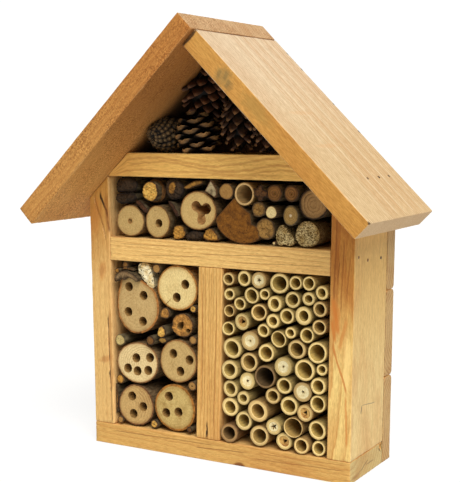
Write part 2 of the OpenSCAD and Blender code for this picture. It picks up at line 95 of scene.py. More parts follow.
def value_noise(points, seed=0):
    """Smooth value noise in -1..1 for an N x 3 array."""
    points = np.asarray(points, float)
    cell = np.floor(points).astype(np.int64)
    part = points - cell
    part = part * part * (3 - 2 * part)
    px, py, pz = part.T

    def corner(dx, dy, dz):
        code = ((cell[:, 0] + dx) * 73856093) ^ ((cell[:, 1] + dy) * 19349663)
        code = (code ^ ((cell[:, 2] + dz) * 83492791) ^ (seed * 26544357)) & 0xFFFFFFFF
        code = ((code ^ (code >> 13)) * 1274126177) & 0xFFFFFFFF
        code = code ^ (code >> 16)
        return (code & 0xFFFF) / 32767.5 - 1.0

    near0, near1, far0, far1 = [corner(0, dy, dz) * (1 - px) + corner(1, dy, dz) * px
                                for dz in (0, 1) for dy in (0, 1)]
    near = near0 * (1 - py) + near1 * py
    far = far0 * (1 - py) + far1 * py
    return near * (1 - pz) + far * pz


def fractal_noise(points, seed=0, octaves=3):
    points = np.asarray(points, float)
    total, weight, weights = 0, 1.0, 0.0
    for k in range(octaves):
        total = total + weight * value_noise(points * (2.03 ** k) + 17.3 * k, seed + 31 * k)
        weights += weight
        weight *= 0.5
    return total / weights


def round_noise(angle, scale, level, seed, octaves):
    """Noise around a circle, without a seam."""
    points = columns(np.cos(angle) * scale, np.sin(angle) * scale, level)
    return fractal_noise(points, seed, octaves)


def turn(count):
    """Evenly spaced angles round a circle."""
    return np.linspace(0, 2 * np.pi, count, endpoint=False)


# ------------------------------------------------------------------ mesh objects
def mesh_object(name, vertices, faces, attributes=None, smooth=True, material=None):
    """A mesh object from millimetre vertices, with its normals facing out."""
    mesh = bpy.data.meshes.new(name)
    mesh.from_pydata((np.asarray(vertices, float) * MM).tolist(), [],
                     [list(map(int, face)) for face in faces])
    for key, values in (attributes or {}).items():
        values = np.asarray(values, np.float32)
        if values.ndim == 1:
            mesh.attributes.new(key, "FLOAT", "POINT").data.foreach_set("value", values)
        else:
            attribute = mesh.attributes.new(key, "FLOAT_VECTOR", "POINT")
            attribute.data.foreach_set("vector", values.ravel())
    edit = bmesh.new()
    edit.from_mesh(mesh)
    bmesh.ops.recalc_face_normals(edit, faces=edit.faces)
    edit.to_mesh(mesh)
    edit.free()
    mesh.polygons.foreach_set("use_smooth", [smooth] * len(mesh.polygons))
    mesh.update()
    item = bpy.data.objects.new(name, mesh)
    bpy.context.scene.collection.objects.link(item)
    if material is not None:
        mesh.materials.append(material)
    return item


def register(item, node=None):
    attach(item, "root")
    if node:
        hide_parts(node)


def sharpen(item, degrees):
    """Marks hard edges sharp, so that flat faces stay flat."""
    edit = bmesh.new()
    edit.from_mesh(item.data)
    limit = math.radians(degrees)
    for edge in edit.edges:
        if len(edge.link_faces) == 2 and edge.calc_face_angle(0) > limit:
            edge.smooth = False
    edit.to_mesh(item.data)
    edit.free()


class MeshParts:
    """Collects closed parts into one mesh."""

    def __init__(self):
        self.vertices, self.faces, self.attributes, self.count = [], [], {}, 0

    def add(self, vertices, faces, **attributes):
        self.vertices.append(vertices)
        self.faces += [[int(i) + self.count for i in face] for face in faces]
        for key, values in attributes.items():
            self.attributes.setdefault(key, []).append(values)
        self.count += len(vertices)

    def build(self, name, material, slot, node=None, angle=50):
        attributes = {key: np.concatenate(rows) for key, rows in self.attributes.items()}
        item = mesh_object(name, np.concatenate(self.vertices), self.faces, attributes,
                           material=material)
        sharpen(item, angle)
        register(item, node)


# ------------------------------------------------------------------ shader tools
def srgb(*channels):
    """Linear colour from 0-255 sRGB."""
    return tuple(c / 255 / 12.92 if c / 255 <= 0.04045 else ((c / 255 + 0.055) / 1.055) ** 2.4
                 for c in channels)


def scale(colour, gain):
    """A colour times one gain or a gain per channel, kept at or below 1."""
    gains = gain if isinstance(gain, tuple) else (gain,) * 3
    return tuple(min(1.0, channel * factor) for channel, factor in zip(colour, gains))


class Signal:
    """A shader output. Arithmetic adds Math nodes, or Vector Math nodes where given a tuple."""

    def __init__(self, shader, socket):
        self.shader, self.socket = shader, socket

    def math(self, operation, other=None, **settings):
        kind = "ShaderNodeVectorMath" if isinstance(other, tuple) else "ShaderNodeMath"
        inputs = {0: self} if other is None else {0: self, 1: other}
        return self.shader.node(kind, inputs, operation=operation, **settings)

    def __add__(self, other):
        return self.math("ADD", other)

    def __radd__(self, other):
        return self.shader.node("ShaderNodeMath", {0: other, 1: self}, operation="ADD")

    def __sub__(self, other):
        return self.math("SUBTRACT", other)

    def __mul__(self, other):
        return self.math("MULTIPLY", other)

    def __truediv__(self, other):
        return self.math("DIVIDE", other)

    def __pow__(self, other):
        return self.math("POWER", other)

    def length(self):
        return self.shader.node("ShaderNodeVectorMath", {0: self}, "Value", operation="LENGTH")

    def dot(self, direction):
        return self.shader.node("ShaderNodeVectorMath", {0: self, 1: direction}, "Value",
                                operation="DOT_PRODUCT")

    def split(self):
        """The x, y and z parts of a vector."""
        separate = self.shader.node("ShaderNodeSeparateXYZ", {0: self}).socket.node
        return [Signal(self.shader, output) for output in separate.outputs]

    def grey(self):
        return self.shader.node("ShaderNodeCombineXYZ", {0: self, 1: self, 2: self})

    def noise(self, scale=1.0, detail=3.0, rough=0.55, distortion=0.0):
        inputs = {"Vector": self, "Scale": scale, "Detail": detail, "Roughness": rough,
                  "Distortion": distortion}
        return self.shader.node("ShaderNodeTexNoise", inputs, "Fac")

    def cells(self, scale=1.0):
        """Distance to the nearest point of a Voronoi pattern."""
        return self.shader.node("ShaderNodeTexVoronoi", {"Vector": self, "Scale": scale},
                                "Distance", feature="F1")

    def remap(self, low, high, start=0.0, end=1.0, kind="SMOOTHSTEP"):
        """Maps low..high to start..end."""
        inputs = {"Value": self, "From Min": low, "From Max": high, "To Min": start, "To Max": end}
        return self.shader.node("ShaderNodeMapRange", inputs, "Result", interpolation_type=kind)

    def mix(self, first, second, blend="MIX"):
        """Blends two colours by this factor."""
        return self.shader.mix(self, first, second, blend)

    def cover(self, factor, colour):
        """Lays a colour over this one."""
        return self.shader.mix(factor, self, colour)

    def multiply(self, factor, colour):
        """Multiplies this colour by another."""
        return self.shader.mix(factor, self, colour, "MULTIPLY")


class Shader:
    """Builds the node tree of one material or world."""

    def __init__(self, name, store=bpy.data.materials):
        self.owner = store.new(name)
        self.owner.use_nodes = True
        self.tree = self.owner.node_tree
        self.tree.nodes.clear()

    def feed(self, socket, value):
        if isinstance(value, Signal):
            self.tree.links.new(value.socket, socket)
        elif isinstance(value, tuple):
            if len(socket.default_value) == 4 and len(value) == 3:
                value += (1.0,)
            socket.default_value = value
        else:
            socket.default_value = float(value)

    def node(self, kind, inputs=(), output=0, **settings):
        """Adds a node, feeds its inputs by name or index, and returns one output."""
        node = self.tree.nodes.new(kind)
        for key, value in settings.items():
            setattr(node, key, value)
        for key, value in dict(inputs).items():
            self.feed(node.inputs[key], value)
        return None if output is None else Signal(self, node.outputs[output])

    def attribute(self, name, output="Fac"):
        return self.node("ShaderNodeAttribute", output=output, attribute_name=name)

    def position(self):
        """The modelled position of a point, in metres."""
        return self.attribute("gl", "Vector")

    def mix(self, factor, first, second, blend="MIX"):
        return self.node("ShaderNodeMix", {0: factor, 6: first, 7: second}, 2,
                         data_type="RGBA", blend_type=blend)

    def surface(self, colour, roughness, height, *, strength, distance, specular, metallic=0.0):
        """Ends the tree in a bumped Principled surface and returns the material."""
        normal = self.node("ShaderNodeBump",
                           {"Strength": strength, "Distance": distance, "Height": height})
        surface = self.node("ShaderNodeBsdfPrincipled", {
            "Base Color": colour, "Roughness": roughness, "Metallic": metallic,
            "Specular IOR Level": specular, "Normal": normal})
        self.node("ShaderNodeOutputMaterial", {0: surface}, None)
        return self.owner


# ------------------------------------------------------------------ sawn softwood shader
# face letter: the two axes that lie in the face, and the axis that crosses it
FACE_AXES = {"c": (0, 1, 2), "b": (0, 2, 1), "a": (1, 2, 0)}


def line_mask(position, axes, shift, face, u0, v0, u1, v1, width):
    """Mask of a line drawn on a face from (u0, v0) to (u1, v1), in metres."""
    run_axis, side_axis, depth_axis = FACE_AXES[face[0]]
    if abs(v1 - v0) > abs(u1 - u0):
        run_axis, side_axis = side_axis, run_axis
        u0, v0, u1, v1 = v0, u0, v1, u1
    if u1 < u0:
        u0, v0, u1, v1 = u1, v1, u0, v0
    run = axes[run_axis]
    start, end = u0 + shift[run_axis], u1 + shift[run_axis]
    line = run.remap(start, end) * (v1 - v0) + (v0 + shift[side_axis])
    wander = (position.noise(160, rough=0.6) - 0.5) * min(width * 1.8, 0.002)
    away = ((axes[side_axis] - line) + wander).math("ABSOLUTE")
    fade = min(0.005, (u1 - u0) * 0.3)
    ends = (run.remap(start - fade * 0.3, start + fade)
            * run.remap(end - fade, end + fade * 0.3, 1.0, 0.0))
    mask = away.remap(width * 0.4, width, 1.0, 0.0) * ends
    if face[1] == "0":
        # only on the skin of the board's low side
        near = shift[depth_axis]
        mask = mask * axes[depth_axis].remap(near + 0.001, near + 0.0025, 1.0, 0.0)
    return mask


def wood(name, light, dark, *, pith, spacing, wobble, contrast, fibre, sharpness, tilt,
         tints=(), spots=(), knots=(), rough=0.62, specks=0.35, blotch=0.12, bump=1.0,
         end_grain=0.25, seed=0.0, dashes=0.45, torn=0.0, lines=(), end_rings=0.15,
         right_rings=None):
    """Softwood. Its position is (along, across, through) the board.

    pith is the tree's heart in (across, through), and tilt says how far it drifts per metre of
    length. spacing, sharpness and contrast shape the growth rings, end_rings adds ring contrast
    on end grain and right_rings scales it on faces to the right.
    tints: (direction, colour, amount) and optionally (axis, from, to, second colour); multiplies the
    faces that point one way, for their own tone and for painted light and shade on that side
    spots: (along, across, through, three radii, colour, amount, noise scale)
    knots: (along, across, through, radius, strength)
    lines: (face, start u, v, end u, v, width, colour, amount)
    """
    light, dark = srgb(*light), srgb(*dark)
    shader = Shader(name)
    shift = (seed, seed * 0.37, seed * 0.61)
    position = shader.position()
    if seed:
        position = position + shift
    axes = along, across, through = position.split()
    normal = shader.node("ShaderNodeNewGeometry", output="Normal")

    def shifted(point):
        return tuple(value + move for value, move in zip(point, shift))

    def grain(lengthwise, crosswise, **settings):
        """Noise stretched along the board."""
        return (position * (lengthwise, crosswise, crosswise)).noise(**settings)

    # knots bend the rings round themselves
    knot_fields = []
    for *centre, radius, strength in knots:
        offset = (position - shifted(centre)) * (0.55, 1.0, 0.25)
        knot_fields.append((offset.length(), radius, strength))
    bend = ((grain(7, 26, detail=2, rough=0.5) - 0.5) * (wobble * 2)
            + (grain(16, 60, detail=2, rough=0.5) - 0.5) * (wobble * 0.6))
    side = (across - (pith[0] + shift[1])) + (bend + along * tilt[0])
    rise = (through - (pith[1] + shift[2])) + along * tilt[1]
    ring = (side * side + rise * rise).math("SQRT")
    for away, radius, strength in knot_fields:
        ring = ring + away.remap(0.0, radius * 3.2, 1.0, 0.0) * (radius * 0.9)
    ring = ring + (grain(90, 420, detail=1) - 0.5) * (spacing * 0.22)
    phase = (ring / spacing).math("FRACT")
    late = phase ** sharpness
    late = late * phase.remap(0.93, 1.0, 1.0, 0.0)
    patches = grain(4, 60, detail=2)
    late = late.math("MULTIPLY", patches.remap(0.3, 0.7, 0.5, 1.25), use_clamp=True)
    fine = grain(45, 1700, detail=4, rough=0.65)
    medium = grain(14, 330, rough=0.6)
    ring_strength = contrast + shader.attribute("endg") * end_rings
    if right_rings is not None:
        ring_strength = ring_strength * normal.dot(RIGHT).remap(0.6, 0.9, 1.0, right_rings)
    colour = (late * ring_strength).mix(light, dark)
    streaks = 1.0 + ((fine - 0.5) * (fibre * 2.0) + (medium - 0.5) * (fibre * 1.4))
    colour = colour.multiply(1.0, streaks.grey())
    blotches = grain(9, 30, rough=0.6, distortion=0.4).remap(0.42, 0.75)
    colour = colour.cover(blotches * (blotch * 2.2), scale(dark, (1.12, 1.02, 0.9)))
    # short fibres, and the torn grain a saw leaves
    short = grain(170, 1250, rough=0.75).remap(0.33, 0.67)
    colour = colour.multiply(dashes, short.mix((0.66, 0.55, 0.40), (1.22, 1.26, 1.34)))
    if torn:
        tears = position.noise(640, rough=0.75).remap(0.34, 0.62)
        where = grain(22, 60, detail=2).remap(0.38, 0.60, 0.30, 1.0)
        colour = colour.multiply(where * torn, tears.mix((0.46, 0.34, 0.22), (1.22, 1.25, 1.30)))
    # short dark pores
    pores = ((position * (130.0, 900.0, 900.0)).cells().remap(0.10, 0.20, 1.0, 0.0)
             * grain(30, 120, detail=2).remap(0.45, 0.62))
    colour = colour.cover(pores * specks, scale(dark, 0.30))
    colour = colour.cover(shader.attribute("endg") * end_grain, scale(dark, 0.8))
    # faces that point one way are multiplied by a colour: part wood tone, part painted light and
    # shade for that side, optionally changing along one axis
    for direction, tint, amount, *change in tints:
        for axis, start, end, second in change:
            start, end = start + shift[axis], end + shift[axis]
            tint = axes[axis].remap(start, end).mix(tint, second)
        colour = colour.multiply(normal.dot(direction).remap(0.6, 0.9) * amount, tint)
    for spot in spots:
        stain, amount, noise_scale = spot[6:]
        away = ((position - shifted(spot[:3])) / tuple(spot[3:6])).length()
        away = away + (position.noise(noise_scale, rough=0.7) - 0.5) * 1.3
        colour = colour.cover(away.remap(0.35, 1.0, 1.0, 0.0) * amount, stain)
    for *place, ink, amount in lines:
        colour = colour.cover(line_mask(position, axes, shift, *place) * amount, ink)
    for away, radius, strength in knot_fields:
        rings = (away / (radius * 0.22)).math("FRACT")
        knot = (rings * 0.6).mix(scale(dark, 0.55), scale(dark, 0.22))
        mask = away.remap(radius * 0.55, radius * 1.15, 1.0, 0.0)
        colour = colour.cover(mask * strength, knot)
    height = fine * 0.6 + late * 0.5
    height = height + pores * -0.8
    roughness = fine.remap(0.2, 0.8, rough - 0.08, rough + 0.12, "LINEAR")
    return shader.surface(colour, roughness, height, strength=0.55 * bump, distance=0.00035,
                          specular=0.28)


# ------------------------------------------------------------------ board meshes
def stations(length, step, extra=()):
    """Grid lines along one edge of a board, closer at its rounded ends."""
    count = max(1, int(round((length - 2 * EDGE_RADIUS) / step)))
    inner = np.linspace(EDGE_RADIUS, length - EDGE_RADIUS, count + 1)
    near = EDGE_RADIUS * 0.3
    return np.unique(np.round(np.concatenate([[0, near], inner, [length - near, length], extra]), 4))


def board(node, size, step, place, material, *, seed, rough=0.07, wave=0.25,
          edge=0.5, cracks=(), dents=(), extra=(), reshape=None):
    """A sawn board that measures size along, across and through; place puts it into the house.

    rough, wave and edge are the depths of fibres, of waviness and of chipped corners.
    cracks: (start along, across, end along, across, width, depth), on the low "through" face
    dents: (face, first place, second place, radius, depth)
    """
    lines = [stations(size[0], step[0], extra), stations(size[1], step[1]),
             stations(size[2], step[2])]
    grids, quads, count = [], [], 0
    for fixed in (2, 1, 0):
        first, second = [axis for axis in range(3) if axis != fixed]
        for level in (0, size[fixed]):
            rows, cols = np.meshgrid(lines[first], lines[second], indexing="ij")
            points = np.full((rows.size, 3), float(level))
            points[:, first], points[:, second] = rows.ravel(), cols.ravel()
            index = np.arange(rows.size).reshape(rows.shape) + count
            corners = [index[:-1, :-1], index[1:, :-1], index[1:, 1:], index[:-1, 1:]]
            quads.append(np.stack(corners, -1).reshape(-1, 4))
            grids.append(points)
            count += len(points)
    points, index = np.unique(np.round(np.concatenate(grids), 3), axis=0, return_inverse=True)
    faces = index.reshape(-1)[np.concatenate(quads)]
    size = np.array(size, float)
    core = np.clip(points, EDGE_RADIUS, size - EDGE_RADIUS)
    offset = points - core
    normal = offset / np.maximum(np.linalg.norm(offset, axis=1), 1e-9)[:, None]
    shape = core + normal * EDGE_RADIUS
    # fibres along the faces, a coarser texture on the ends, waviness and chipped corners
    ends = np.abs(normal[:, 0])
    fibres = fractal_noise(points * [0.05, 0.85, 0.85], seed + 1, 3)
    end_fibres = fractal_noise(points * [0.55, 0.7, 0.7], seed + 2, 2)
    move = -rough * (0.6 + fibres) * (1 - ends) - (rough * 0.9) * (0.5 + 0.5 * end_fibres) * ends
    move -= wave * (0.5 + 0.5 * fractal_noise(points * [0.012, 0.03, 0.03], seed + 3, 2))
    chips = np.clip(fractal_noise(points * [0.12, 0.5, 0.5], seed + 4, 3) + 0.15, 0, 1)
    move -= edge * chips * ((np.abs(normal) > 0.15).sum(1) >= 2)
    for a0, b0, a1, b1, width, depth in cracks:
        part = np.clip((points[:, 0] - a0) / (a1 - a0), 0, 1)
        line = b0 + (b1 - b0) * part + 0.5 * np.sin(part * 9 + seed) * (width + 0.25)
        away = np.abs(points[:, 1] - line)
        fade = (smoothstep((points[:, 0] - min(a0, a1)) / 6)
                * smoothstep((max(a0, a1) - points[:, 0]) / 6))
        move -= depth * np.exp(-(away / width) ** 2) * fade * (np.abs(points[:, 2]) < 0.5)
    for face, first, second, radius, depth in dents:
        axis = "abc".index(face[0])
        level = size[axis] if face[1] == "1" else 0.0
        u, v = [i for i in range(3) if i != axis]
        away = np.hypot(points[:, u] - first, points[:, v] - second)
        on_face = np.abs(points[:, axis] - level) < 0.5
        move -= depth * np.exp(-(away / radius) ** 2) * on_face
    shape = shape + normal * move[:, None]
    if reshape is not None:
        shape = reshape(shape, points)
    attributes = {"gl": points * MM, "endg": smoothstep((ends - 0.5) * 4)}
    item = mesh_object(node + "_wood", place(*shape.T), faces, attributes, material=material)
    register(item, node)
    return item


def wall_x(side, half, z):
    """x of a line that starts half from the middle at the base and leans with its side wall."""
    return side * (half + LEAN[side] * np.maximum(0, z - BASE_TOP))


def wall_top(side, half):
    """Height at which that line meets the roof."""
    x = (half + LEAN[side] * (APEX_Z - BASE_TOP)) / (1 + LEAN[side] * ROOF_TAN)
    return APEX_Z - x * ROOF_TAN


# ------------------------------------------------------------------ base board
pine = wood(
    "pine_base", (236, 190, 118), (190, 118, 52), pith=(0.045, 0.016), spacing=0.0050,
    wobble=0.009, contrast=0.50, fibre=0.15, sharpness=2.6, tilt=(0.03, 0.07), blotch=0.2,
    rough=0.6,
    knots=[(0.143, 0.0005, 0.001, 0.0032, 0.95), (0.236, 0.004, 0.012, 0.003, 0.6)],
    # front and right end multiplied apart: their tone, and painted light and shade on each side
    tints=[(FRONT, (0.79, 0.78, 0.66), 1.0), (RIGHT, (0.84, 1.13, 1.46), 1.0)],
    spots=[(0.240, 0.0135, 0.0615, 0.004, 0.0035, 0.0022, srgb(42, 26, 14), 1.0, 400),
           (0.240, 0.008, 0.040, 0.003, 0.0008, 0.011, srgb(110, 76, 44), 0.55, 900)],
    lines=[("c0", 0.02, 0.0125, 0.118, 0.0138, 0.0006, srgb(128, 78, 34), 0.55),
           ("c0", 0.10, 0.0100, 0.150, 0.0120, 0.0007, srgb(120, 72, 30), 0.55),
           ("c0", 0.155, 0.0085, 0.236, 0.0105, 0.0006, srgb(140, 86, 38), 0.55),
           ("c0", 0.16, 0.0135, 0.238, 0.0150, 0.0005, srgb(150, 92, 42), 0.5),
           ("a1", 0.006, 0.020, 0.011, 0.036, 0.0006, srgb(70, 46, 26), 0.7),
           ("a1", 0.0045, 0.0165, 0.0062, 0.0205, 0.0005, srgb(70, 46, 26), 0.6)])


def place_base(a, b, c):
    return columns(BASE_LOW[0] + a, BASE_LOW[1] + c, BASE_LOW[2] + b)


board("base_board", (240, BASE_TOP - BASE_LOW[2], DEPTH), (2.6, 0.75, 2.2), place_base, pine,
      seed=11, rough=0.09, wave=0.3, edge=0.6,
      cracks=[(108, 13.2, 128, 13.8, 0.25, 0.5), (158, 9, 236, 10.5, 0.25, 0.4)],
      dents=[("a1", 14.4, 62.5, 2.6, 3.0), ("c0", 143, 0.6, 2.2, 0.7)])

# ------------------------------------------------------------------ side boards
SIDE_LENGTH = wall_top(-1, INNER_HALF) - BASE_TOP


def side_placer(side):
    """Stands a board on the base; its top follows the roof."""
    def place(a, b, c):
        half = HALF_WIDTH - b
        z = BASE_TOP + a / SIDE_LENGTH * (wall_top(side, half) - BASE_TOP)
        return columns(wall_x(side, half, z), FRONT_Y + c, z)
    return place


pine = wood(
    "pine_left_side", (240, 198, 132), (186, 118, 54), pith=(0.058, -0.012), spacing=0.0044,
    wobble=0.006, contrast=0.36, fibre=0.16, sharpness=2.5, tilt=(0.02, 0.06), blotch=0.16,
    knots=[(0.138, 0.0110, 0.000, 0.0026, 0.22), (0.058, 0.0105, 0.0, 0.0024, 0.28)],
    spots=[(0.138, 0.0115, 0.0, 0.010, 0.006, 0.006, srgb(196, 128, 62), 0.55, 120),
           (0.058, 0.012, 0.0, 0.004, 0.008, 0.006, srgb(190, 120, 58), 0.5, 160),
           (0.19, 0.006, 0.0, 0.022, 0.008, 0.01, srgb(196, 128, 58), 0.5, 90)],
    lines=[("c0", 0.208, 0.0115, 0.178, 0.0185, 0.0011, (0.025, 0.012, 0.005), 0.95),
           ("c0", 0.178, 0.0185, 0.166, 0.0198, 0.0007, (0.03, 0.014, 0.006), 0.8),
           ("c0", 0.2, 0.017, 0.165, 0.0196, 0.0032, srgb(150, 92, 40), 0.55),
           ("c0", 0.096, 0.0163, 0.040, 0.0166, 0.0008, (0.035, 0.016, 0.006), 0.95),
           ("c0", 0.060, 0.0166, 0.001, 0.0178, 0.0006, (0.05, 0.022, 0.008), 0.85),
           ("c0", 0.10, 0.0180, 0.03, 0.0184, 0.0022, srgb(168, 108, 52), 0.5)],
    # the front darkens and turns orange-brown towards its top: painted shadow under the roof's
    # overhang
    tints=[(FRONT, (0.86, 0.86, 0.77), 1.0, (0, 0.12, 0.20, (0.72, 0.60, 0.35)))])
board("left_side_board", (SIDE_LENGTH, BOARD_THICK, DEPTH), (2.4, 0.45, 2.2), side_placer(-1),
      pine, seed=21,
      cracks=[(212, 4, 158, 17.2, 0.38, 2.2), (92, 15.2, 3, 17.6, 0.36, 2.0),
              (60, 16.2, 96, 15.3, 0.3, 1.2)])

pine = wood(
    "pine_right_side", (240, 194, 122), (186, 104, 34), pith=(0.046, -0.060), spacing=0.0040,
    wobble=0.010, contrast=0.60, fibre=0.18, sharpness=2.2, tilt=(0.02, -0.02), blotch=0.24,
    seed=0.31, right_rings=0.22,
    # the right face darkens towards its top and the front darkens and turns orange towards its top:
    # painted shadow under the eave; the other factors set each face's tone and painted light
    tints=[(RIGHT, srgb(255, 250, 232), 0.7),
           (RIGHT, (0.90, 1.15, 1.66), 1.0, (0, 0.02, 0.18, (0.79, 0.85, 0.90))),
           (FRONT, (1.0, 1.22, 1.25), 1.0, (0, 0.062, 0.155, (0.68, 0.52, 0.28)))],
    lines=[("b0", 0.0365, 0.0190, 0.0440, 0.0200, 0.0010, srgb(70, 62, 66), 0.85),
           ("b0", 0.0435, 0.0200, 0.0405, 0.0480, 0.0005, srgb(112, 98, 88), 0.6),
           ("c0", 0.128, 0.0172, 0.100, 0.0125, 0.0022, srgb(204, 122, 50), 0.65),
           ("c0", 0.118, 0.0060, 0.088, 0.0110, 0.0018, srgb(206, 126, 54), 0.5),
           ("c0", 0.110, 0.0180, 0.092, 0.0150, 0.0020, srgb(200, 118, 46), 0.65),
           ("c0", 0.092, 0.0160, 0.055, 0.0050, 0.0013, srgb(196, 116, 48), 0.75),
           ("c0", 0.055, 0.0050, 0.012, 0.0036, 0.0012, srgb(206, 128, 58), 0.65),
           ("c0", 0.19, 0.0150, 0.125, 0.0165, 0.0009, srgb(140, 76, 26), 0.65),
           ("c0", 0.18, 0.0090, 0.120, 0.0105, 0.0007, srgb(146, 82, 30), 0.6),
           ("c0", 0.17, 0.0040, 0.130, 0.0060, 0.0007, srgb(150, 86, 34), 0.55),
           ("c0", 0.16, 0.0125, 0.140, 0.0135, 0.0006, srgb(120, 64, 22), 0.6)],
    spots=[(0.113, 0.0150, 0.0, 0.020, 0.005, 0.004, srgb(206, 126, 52), 0.65, 160),
           # broad darker brown over the top of the front: painted shade under the roof
           (0.206, 0.010, 0.0, 0.05, 0.02, 0.01, srgb(150, 88, 30), 0.45, 120),
           (0.080, 0.0045, 0.0, 0.035, 0.004, 0.004, srgb(250, 214, 140), 0.55, 100)])
board("right_side_board", (SIDE_LENGTH, BOARD_THICK, DEPTH), (2.4, 0.55, 1.2), side_placer(1),
      pine, seed=23, edge=0.35,
      dents=[("b0", 157, 7, 0.9, 0.4), ("b0", 153, 26, 0.9, 0.4), ("b0", 152, 50, 0.9, 0.4),
             ("b0", 148, 7.5, 1.0, 0.5)])

# ------------------------------------------------------------------ shelves and divider
LOWER_SHELF_Z = node_box("lower_shelf")[0][2]
LOWER_SHELF_LENGTH = 205
pine = wood(
    "pine_lower_shelf", (242, 202, 134), (180, 112, 48), pith=(-0.055, 0.004), spacing=0.0036,
    wobble=0.0026, contrast=0.52, fibre=0.13, sharpness=2.2, tilt=(0.028, 0.0), blotch=0.08,
    specks=0.4, dashes=0.5,
    lines=[("c0", 0.03, 0.0062, 0.096, 0.008, 0.0004, srgb(120, 72, 30), 0.6),
           ("c0", 0.09, 0.0105, 0.17, 0.0125, 0.0004, srgb(120, 72, 30), 0.6),
           ("c0", 0.12, 0.0055, 0.2, 0.007, 0.0004, srgb(130, 80, 36), 0.55),
           ("c0", 0.01, 0.0145, 0.08, 0.0155, 0.0004, srgb(130, 80, 36), 0.5)],
    tints=[(FRONT, (0.95, 0.94, 0.81), 1.0)])


def place_lower_shelf(a, b, c):
    z = LOWER_SHELF_Z + b
    left, right = wall_x(-1, INNER_HALF, z), wall_x(1, INNER_HALF, z)
    return columns(left + (right - left) * a / LOWER_SHELF_LENGTH, FRONT_Y + c, z)


board("lower_shelf", (LOWER_SHELF_LENGTH, BOARD_THICK, DEPTH), (2.4, 0.55, 2.4),
      place_lower_shelf, pine, seed=31, rough=0.10, edge=0.7,
      cracks=[(30, 6.2, 96, 8, 0.22, 0.35)])

UPPER_LOW, UPPER_HIGH = node_box("upper_shelf")
UPPER_LEFT = float(UPPER_LOW[0])
# corners of the upper shelf's top, where it meets the roof
UPPER_TOP_HALF = (APEX_Z - GABLE_FLOOR_Z) / ROOF_TAN


def place_upper_shelf(a, b, c):
    x = UPPER_LEFT + a
    top = np.minimum(UPPER_LOW[2] + BOARD_THICK, APEX_Z - np.abs(x) * ROOF_TAN - 0.1)
    return columns(x, UPPER_LOW[1] + c, UPPER_LOW[2] + b / BOARD_THICK * (top - UPPER_LOW[2]))


def growth_line(points, width, red_green_blue, amount, overlap=2.6):
    """A wavy line on the upper shelf's front, through (x, height above its underside) in mm."""
    (xa, za), (xb, zb) = points[0], points[1]
    (xy, zy), (xz, zz) = points[-2], points[-1]
    knots = np.array([(2 * xa - xb, za), *points, (2 * xz - xy, zz)], float)
    curve = []
    for k in range(1, len(knots) - 2):
        before, start, end, after = knots[k - 1:k + 3]
        for t in (0.0, 0.5):
            curve.append(0.5 * (2 * start + (end - before) * t
                                + (2 * before - 5 * start + 4 * end - after) * t * t
                                + (3 * start - before - 3 * end + after) * t ** 3))
    curve = np.array(curve + [knots[-2]]).tolist()
    segments = []
    for (x0, z0), (x1, z1) in zip(curve, curve[1:]):
        rise = (z1 - z0) * overlap / (x1 - x0)
        segments.append(("c0", (x0 - UPPER_LEFT - overlap) * MM, (z0 - rise) * MM,
                         (x1 - UPPER_LEFT + overlap) * MM, (z1 + rise) * MM,
                         width, srgb(*red_green_blue), amount))
    return segments


GROWTH_LINES = [  # points (x, height), width in metres, sRGB colour, amount
    ([(-96, 13.0), (-71, 15.4), (-53, 16.2), (-24, 12.4), (1, 9.9), (37, 15.0), (58, 17.8)],
     0.0013, (178, 120, 62), 0.42),
    ([(-80, 10.5), (-48, 13.2), (-24, 9.9), (6, 6.0), (30, 7.6), (56, 11.9), (76, 10.0)],
     0.0013, (176, 118, 60), 0.45),
    ([(-96, 4.2), (-70, 6.0), (-44, 5.0), (-12, 5.3), (16, 3.6), (56, 4.1)],
     0.0012, (178, 120, 62), 0.38),
    ([(-44, 18.4), (-8, 14.2), (19, 17.2), (44, 19.2)], 0.0010, (184, 124, 66), 0.34),
    ([(-30, 2.2), (0, 3.0), (34, 1.2)], 0.0008, (180, 120, 62), 0.32),
    ([(34, 5.2), (60, 8.2), (88, 7.0)], 0.0010, (176, 116, 60), 0.36)]
pine = wood(
    "pine_upper_shelf", (236, 196, 126), (200, 142, 76), pith=(0.034, 0.006), spacing=0.0044,
    wobble=0.0070, contrast=0.32, fibre=0.10, sharpness=2.4, tilt=(-0.05, 0.02), blotch=0.12,
    seed=0.07, dashes=0.4, tints=[(FRONT, (0.99, 0.94, 0.68), 1.0)],
    lines=[segment for row in GROWTH_LINES for segment in growth_line(*row)])
board("upper_shelf", (UPPER_HIGH[0] - UPPER_LOW[0], BOARD_THICK, DEPTH), (2.0, 0.6, 2.4),
      place_upper_shelf, pine, seed=37, rough=0.16, wave=0.4, edge=1.3,
      extra=(-UPPER_TOP_HALF - UPPER_LEFT, UPPER_TOP_HALF - UPPER_LEFT))

DIVIDER_HEIGHT = 142
pine = wood(
    "pine_divider", (238, 192, 120), (192, 122, 54), pith=(-0.045, -0.010), spacing=0.0034,
    wobble=0.0035, contrast=0.78, fibre=0.20, sharpness=2.6, tilt=(0.0, 0.02), blotch=0.12,
    seed=0.15,
    lines=[("c0", 0.0, 0.0098, 0.016, 0.0106, 0.0006, (0.03, 0.014, 0.006), 0.95),
           ("c0", 0.02, 0.0052, 0.139, 0.0046, 0.0006, srgb(150, 88, 36), 0.5),
           ("c0", 0.01, 0.0165, 0.120, 0.0175, 0.0005, srgb(150, 88, 36), 0.55),
           ("c0", 0.03, 0.012, 0.14, 0.0125, 0.0004, srgb(160, 96, 40), 0.5)],
    tints=[(FRONT, (0.86, 0.86, 0.77), 1.0)])


def place_divider(a, b, c):
    """Leans 3 mm to the right over its height."""
    return columns(-18 + 3 * a / DIVIDER_HEIGHT + b, FRONT_Y + c, BASE_TOP + a)


